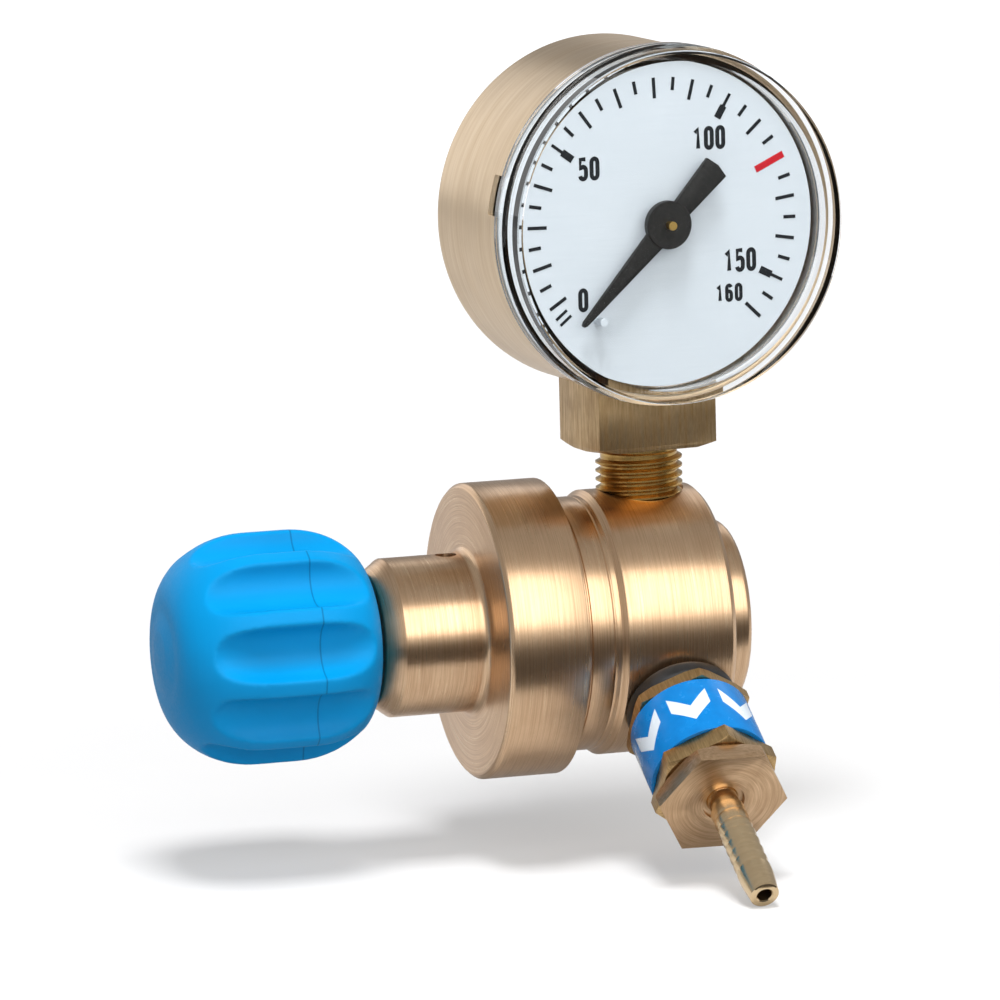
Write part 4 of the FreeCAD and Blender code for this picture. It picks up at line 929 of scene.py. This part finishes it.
def numeral(text, centre_x, centre_y, height):
    """Number drawn with a round pen, flattened to a thin print on the dial."""
    unit = (height - stroke) / 2.5
    narrow = 0.82 * unit
    advance = narrow + stroke + 0.2 * unit
    strokes = []
    for place, digit in enumerate(text):
        points, closed = digit_line(digit)
        curve = bpy.data.curves.new("digit_pen", "CURVE")
        curve.dimensions = "3D"
        curve.bevel_depth = stroke / 2 * MM * min(1.0, height / 2.6)
        curve.bevel_resolution = 2
        curve.use_fill_caps = True
        line = curve.splines.new("POLY")
        line.points.add(len(points) - 1)
        start = centre_x + (place - (len(text) - 1) / 2) * advance - narrow / 2
        for point, (x, y) in zip(line.points, points):
            point.co = ((start + x * narrow) * MM, (centre_y + (y - 1.25) * unit) * MM, 0, 1)
        line.use_cyclic_u = closed
        pen = bpy.data.objects.new("digit", curve)
        bpy.context.scene.collection.objects.link(pen)
        pick(pen)
        bpy.ops.object.convert(target="MESH")
        pen = bpy.context.object
        pen.scale = (1, 1, proud / stroke)
        bpy.ops.object.transform_apply()
        pen.location = (0, 0, (dial_face + proud / 2) * MM)
        bpy.ops.object.transform_apply()
        strokes.append(pen)
    return strokes


ink_film = {"Specular IOR Level": 0.2}
black_ink = grained("black_dial_ink", "#12161C", "#1F2226", 4000.0, 2.0, 0.4, 0.5, more=ink_film)
red_ink = grained("red_dial_ink", "#BE1524", "#BF212C", 4000.0, 2.0, 0.4, 0.5, more=ink_film)
marks = []
for bar in range(10, 160, 5):
    angle = zero_angle - degrees_per_bar * bar
    if bar == limit_pressure:
        continue
    if bar % 50 == 0:
        marks.append(dial_mark("fifty_line", angle, scale_short - 0.1, scale_outer, 0.36))
        marks.append(dial_mark("fifty_block", angle, fifty_block_inner, scale_short - 0.05, 0.86))
    else:
        inner = scale_long if bar % 10 == 0 else scale_short
        marks.append(dial_mark("scale_line", angle, inner, scale_outer, 0.4))
last_angle = zero_angle - degrees_per_bar * 160
marks.append(dial_mark("last_line", last_angle, last_line_inner, scale_outer, 0.42))
for shift in (-0.42, 0.42):
    marks.append(dial_mark("zero_line", zero_lines_angle, *zero_lines, 0.34, shift))
for text, x, y, height in (("0", -10.0, -8.05, tall), ("50", -8.96, 6.84, tall), ("100", 6.01, 9.34, tall),
                           ("150", 9.58, -4.9, tall), ("160", 8.15, -8.55, 0.8 * tall)):
    marks += numeral(text, x, y, height)
dial_print = joined(marks[0], *marks[1:])
dial_print.name = dial_print.data.name = "dial_print"
settle(dial_print, gauge_place)
finished(dial_print, black_ink, "housing", "black_pointer_paint")

limit_angle = zero_angle - degrees_per_bar * limit_pressure
limit_line = dial_mark("filling_limit_line", limit_angle, *limit_line_ends, 0.8)
broken_edges(limit_line, 0.008, segments=1)
settle(limit_line, gauge_place)
finished(limit_line, red_ink, "housing", "black_pointer_paint")


# Pointer: a blade cut from thin sheet and painted black, with a wider tail that balances it and a
# low hub that is pressed on the arbor.

pointer_rest = 225.2
pointer_rear = 8.2
pointer_thickness = 0.7
pointer_hub_front = 9.1
hub_radius = 2.75
arbor_radius = 0.51
pointer_points = ((15.3, -0.12), (15.3, 0.12), (14.9, 0.32), (2.2, 1.25), (-2.2, 1.15), (-8.7, 1.6),
                  (-9.0, 0.0), (-8.7, -1.6), (-2.2, -1.15), (2.2, -1.25), (14.9, -0.32))

black_paint = grained("black_pointer_paint", "#101010", "#242322", 2400.0, 4.0, 0.42, 0.6, ramp=(0.35, 0.7),
                      bump=0.35, reach=0.04, more={"Specular IOR Level": 0.35})
clear_selection()
bpy.ops.mesh.primitive_circle_add(vertices=len(pointer_points), radius=MM, fill_type="NGON")
pointer = bpy.context.object
pointer.name = pointer.data.name = "gauge_pointer"
for vertex, (x, y) in zip(pointer.data.vertices, pointer_points):
    vertex.co = (x * MM, y * MM, pointer_rear * MM)
bpy.ops.object.mode_set(mode="EDIT")
bpy.ops.mesh.select_all(action="SELECT")
bpy.ops.mesh.extrude_region_move(TRANSFORM_OT_translate={"value": (0, 0, pointer_thickness * MM)})
close_mesh()
broken_edges(pointer, 0.09)
hub = turned("pointer_hub", [
    (arbor_radius, pointer_rear - HAIR), (hub_radius, pointer_rear - HAIR),
    (hub_radius, pointer_hub_front - 0.1), (hub_radius - 0.1, pointer_hub_front),
    (arbor_radius, pointer_hub_front)], sides=72)
carve(pointer, rod(arbor_radius, 5, 11, sides=48))
joined(pointer, hub)
settle(pointer, gauge_place @ Matrix.Rotation(math.radians(pointer_rest), 4, "Z"))
finished(pointer, black_paint, "pointer", "black_pointer_paint", "pointer")


# Window: one clear plastic moulding that snaps into the case. Its thick lens is flat in front, a
# flange rests on the case's rim, and a skirt reaches down inside the case.

lens_rear = 10.6
lens_front = 13.4
skirt_inner = 18.79
skirt_outer = 19.44
skirt_end = 5.8
rim_radius = 20.6
window_outline = [
    (POLE, lens_rear), (skirt_inner, lens_rear), (skirt_inner, skirt_end), (skirt_outer, skirt_end),
    (skirt_outer, case_front), (rim_radius, case_front), (rim_radius, 9.85), (20.5, 10.0), (20.3, 10.2),
    (case_radius, 10.3), (case_radius, 13.0), (20.0, 13.25), (19.75, lens_front), (POLE, lens_front)]


def clear_moulding(name):
    """Clear plastic. Light for the dial goes straight through it, so it throws no dark shadow."""
    material, tree = new_material(name)
    place = own_place(tree)
    haze = noise(tree, place, 160.0, 2.0)
    plastic = add_node(tree, "BsdfPrincipled", None, {
        "Base Color": blend_of(tree, haze, colour("#F6F8FA"), colour("#FCFDFE")),
        "Roughness": spread(tree, haze, 0.3, 0.7, 0.0, 0.02), "IOR": 1.49, "Transmission Weight": 1.0,
        "Specular IOR Level": 0.35})
    path = add_node(tree, "LightPath")
    passing = arithmetic(tree, "MAXIMUM", path.outputs["Is Shadow Ray"], path.outputs["Is Diffuse Ray"])
    open_air = add_node(tree, "BsdfTransparent", None, {"Color": (0.97, 0.98, 0.98, 1)})
    both = add_node(tree, "MixShader", None, {0: passing, 1: plastic.outputs[0], 2: open_air.outputs[0]})
    surface(tree, both.outputs[0])
    return material


clear_plastic = clear_moulding("clear_window_plastic")
window = turned("gauge_lens", window_outline, bored=False, sides=192)
settle(window, gauge_place, angle=20)
finished(window, clear_plastic, "housing", "clear_plastic", "gauge_window")


# Pieces inside and between the ones above, which keep the shapes that they have in the solids:
# the dial's disc and peg, the movement, springs, valve, gaskets and small screws.


def dial_paint(name):
    """Satin white paint on the dial and its peg, with a fine brushed grain under it."""
    material, tree = new_material(name)
    grain = noise(tree, stretched_place(tree, (0.05, 0.05, 1.0)), 3000.0, 3.0)
    principled(tree, {
        "Base Color": blend_of(tree, grain, colour("#C8D0D8"), colour("#D2D9E0")),
        "Roughness": spread(tree, grain, 0.3, 0.7, 0.34, 0.42),
        "Normal": bumped(tree, grain, 0.04, 0.02)})
    return material


slot_materials = {
    "turned_brass": turned_brass("inner_turned_brass", (0, 0, 0), main_axis),
    "gauge_brass": case_brass,
    "movement_brass": grained("movement_brass", "#C09A52", "#DDBB70", 800.0, 4.0, 0.3, 0.42, more=METAL),
    "tube_bronze": grained("tube_bronze", "#A8734B", "#C98F62", 800.0, 4.0, 0.3, 0.42, more=METAL),
    "spring_steel": grained("spring_steel", "#A9A9AB", "#C9C9CB", 1500.0, 3.0, 0.22, 0.34, more=METAL),
    "plated_steel": zinc_steel,
    "white_dial_paint": dial_paint("white_dial_paint"),
    "black_rubber": black_rubber,
    "white_nylon": grained("white_nylon", "#DEDDD6", "#EBEAE4", 600.0, 3.0, 0.4, 0.52),
    "black_pointer_paint": black_paint,
    "blue_knob_plastic": blue_plastic,
    "blue_band_plastic": blue_film,
    "clear_plastic": clear_plastic,
}
for part in frame["record"]["subparts"]:
    shown = frame["nodes"][part["node"]]
    shown.data.materials.clear()
    shown.data.materials.append(slot_materials[part["material_slot"]])


# Table: a plain pale sheet under the object, which keeps its soft shadow.

floor_level = -26.25
floor_reach = 6000.0
lift_near = 0.36
lift_far = 0.88


def pale_sheet(name):
    """White paper, lifted for the camera so that it shows white round the shadow. The metal and the
    window's clear rim see a part of that lift."""
    material, tree = new_material(name)
    place = own_place(tree)
    fibre = noise(tree, place, 60.0, 2.0)
    paper = add_node(tree, "BsdfDiffuse", None, {
        "Color": blend_of(tree, fibre, (0.42, 0.42, 0.425, 1), (0.43, 0.43, 0.435, 1))})
    path = add_node(tree, "LightPath")
    mirrored = arithmetic(tree, "MULTIPLY", path.outputs["Is Glossy Ray"], 0.35)
    through = arithmetic(tree, "MULTIPLY", path.outputs["Is Transmission Ray"], 0.5)
    partly = arithmetic(tree, "ADD", mirrored, through)
    seen = arithmetic(tree, "ADD", path.outputs["Is Camera Ray"], partly)
    far = spread(tree, vector_sum(tree, "LENGTH", place), 0.1, 0.8, lift_near, lift_far)
    glow = add_node(tree, "Emission", None, {
        "Color": (1, 1, 1, 1), "Strength": arithmetic(tree, "MULTIPLY", seen, far)})
    both = add_node(tree, "AddShader", None, {0: paper.outputs[0], 1: glow.outputs[0]})
    surface(tree, both.outputs[0])
    return material


clear_selection()
bpy.ops.mesh.primitive_plane_add(size=2 * floor_reach * MM, location=(0, 0, floor_level * MM))
floor = bpy.context.object
floor.name = "pale_floor"
floor.data.materials.append(pale_sheet("pale_paper"))


# Dark card: lies on the table in front of the object. Only the metal and the clear window see it. It
# gives the drum and the neck the dark band under their bright side, and keeps glare off the dial.

card_middle = (100, -442, floor_level + 2)
card_size = (900, 800, 1)

clear_selection()
bpy.ops.mesh.primitive_plane_add(size=MM, location=[length * MM for length in card_middle])
card = bpy.context.object
card.name = "dark_card"
card.scale = card_size
bpy.ops.object.transform_apply()
card_material, card_tree = new_material("dark_card")
card_paint = add_node(card_tree, "BsdfDiffuse", None, {"Color": (0.045, 0.042, 0.04, 1)})
surface(card_tree, card_paint.outputs[0])
card.data.materials.append(card_material)
card.visible_camera = card.visible_diffuse = card.visible_shadow = False


# Light: a wide soft box in front, a small one overhead for the plastic and the shadows, and two weak
# ones behind, in an even pale room.


def soft_box(name, place, aim, wide, tall, brightness, tint, in_metal=True):
    """Rectangular lamp whose face has the given brightness, where 1 is white."""
    light = bpy.data.lights.new(name, "AREA")
    light.shape = "RECTANGLE"
    light.size = wide
    light.size_y = tall
    light.energy = brightness * math.pi * wide * tall
    light.color = colour(tint)[:3]
    lamp = bpy.data.objects.new(name, light)
    bpy.context.scene.collection.objects.link(lamp)
    lamp.location = place
    lamp.rotation_euler = (Vector(aim) - Vector(place)).to_track_quat("-Z", "Y").to_euler()
    lamp.visible_camera = False
    lamp.visible_glossy = lamp.visible_transmission = in_metal


middle = (-0.03, 0.0, 0.02)
soft_box("front_soft_box", (0.0, -0.75, 0.43), middle, 1.3, 0.66, 2.4, "#FFFDF8")
soft_box("left_soft_box", (-0.38, 0.9, 0.32), middle, 0.8, 0.6, 0.8, "#FFFFFF")
soft_box("top_soft_box", (-0.1, -0.28, 0.9), middle, 0.28, 0.34, 35.0, "#FFFFFF", in_metal=False)
soft_box("back_soft_box", (0.45, 0.65, 0.6), middle, 0.6, 0.4, 0.9, "#F4F8FF")

world = bpy.data.worlds.new("pale_room")
bpy.context.scene.world = world
world.use_nodes = True
world_tree = world.node_tree
world_tree.nodes.clear()
path = add_node(world_tree, "LightPath")
camera_lift = arithmetic(world_tree, "MULTIPLY", path.outputs["Is Camera Ray"], 0.5)
outlook = add_node(world_tree, "TexCoord").outputs["Generated"]
backwards = add_node(world_tree, "SeparateXYZ", None, {"Vector": outlook}).outputs["Y"]
even = spread(world_tree, backwards, -1.0, 1.0, 0.4, 0.2)
mirror_lift = arithmetic(world_tree, "MULTIPLY", path.outputs["Is Glossy Ray"], 0.12)
even = arithmetic(world_tree, "ADD", even, mirror_lift)
room = add_node(world_tree, "Background", None, {
    "Color": (1, 1, 1, 1), "Strength": arithmetic(world_tree, "ADD", camera_lift, even)})
add_node(world_tree, "OutputWorld", None, {"Surface": room.outputs[0]})


# Camera: a long lens a little to the left and above, as in the photograph.

camera_data = bpy.data.cameras.new("camera")
camera_data.lens = 306
camera_data.sensor_width = 36
camera_data.clip_start = 0.01
camera_data.clip_end = 50
camera = bpy.data.objects.new("camera", camera_data)
bpy.context.scene.collection.objects.link(camera)
camera.matrix_world = Matrix((
    (0.953022, 0.070462, -0.294600, -0.31270),
    (-0.301940, 0.143413, -0.942480, -0.91528),
    (-0.024160, 0.987156, 0.157950, 0.16831),
    (0, 0, 0, 1)))
bpy.context.scene.camera = camera
bpy.context.scene.view_settings.view_transform = "Standard"
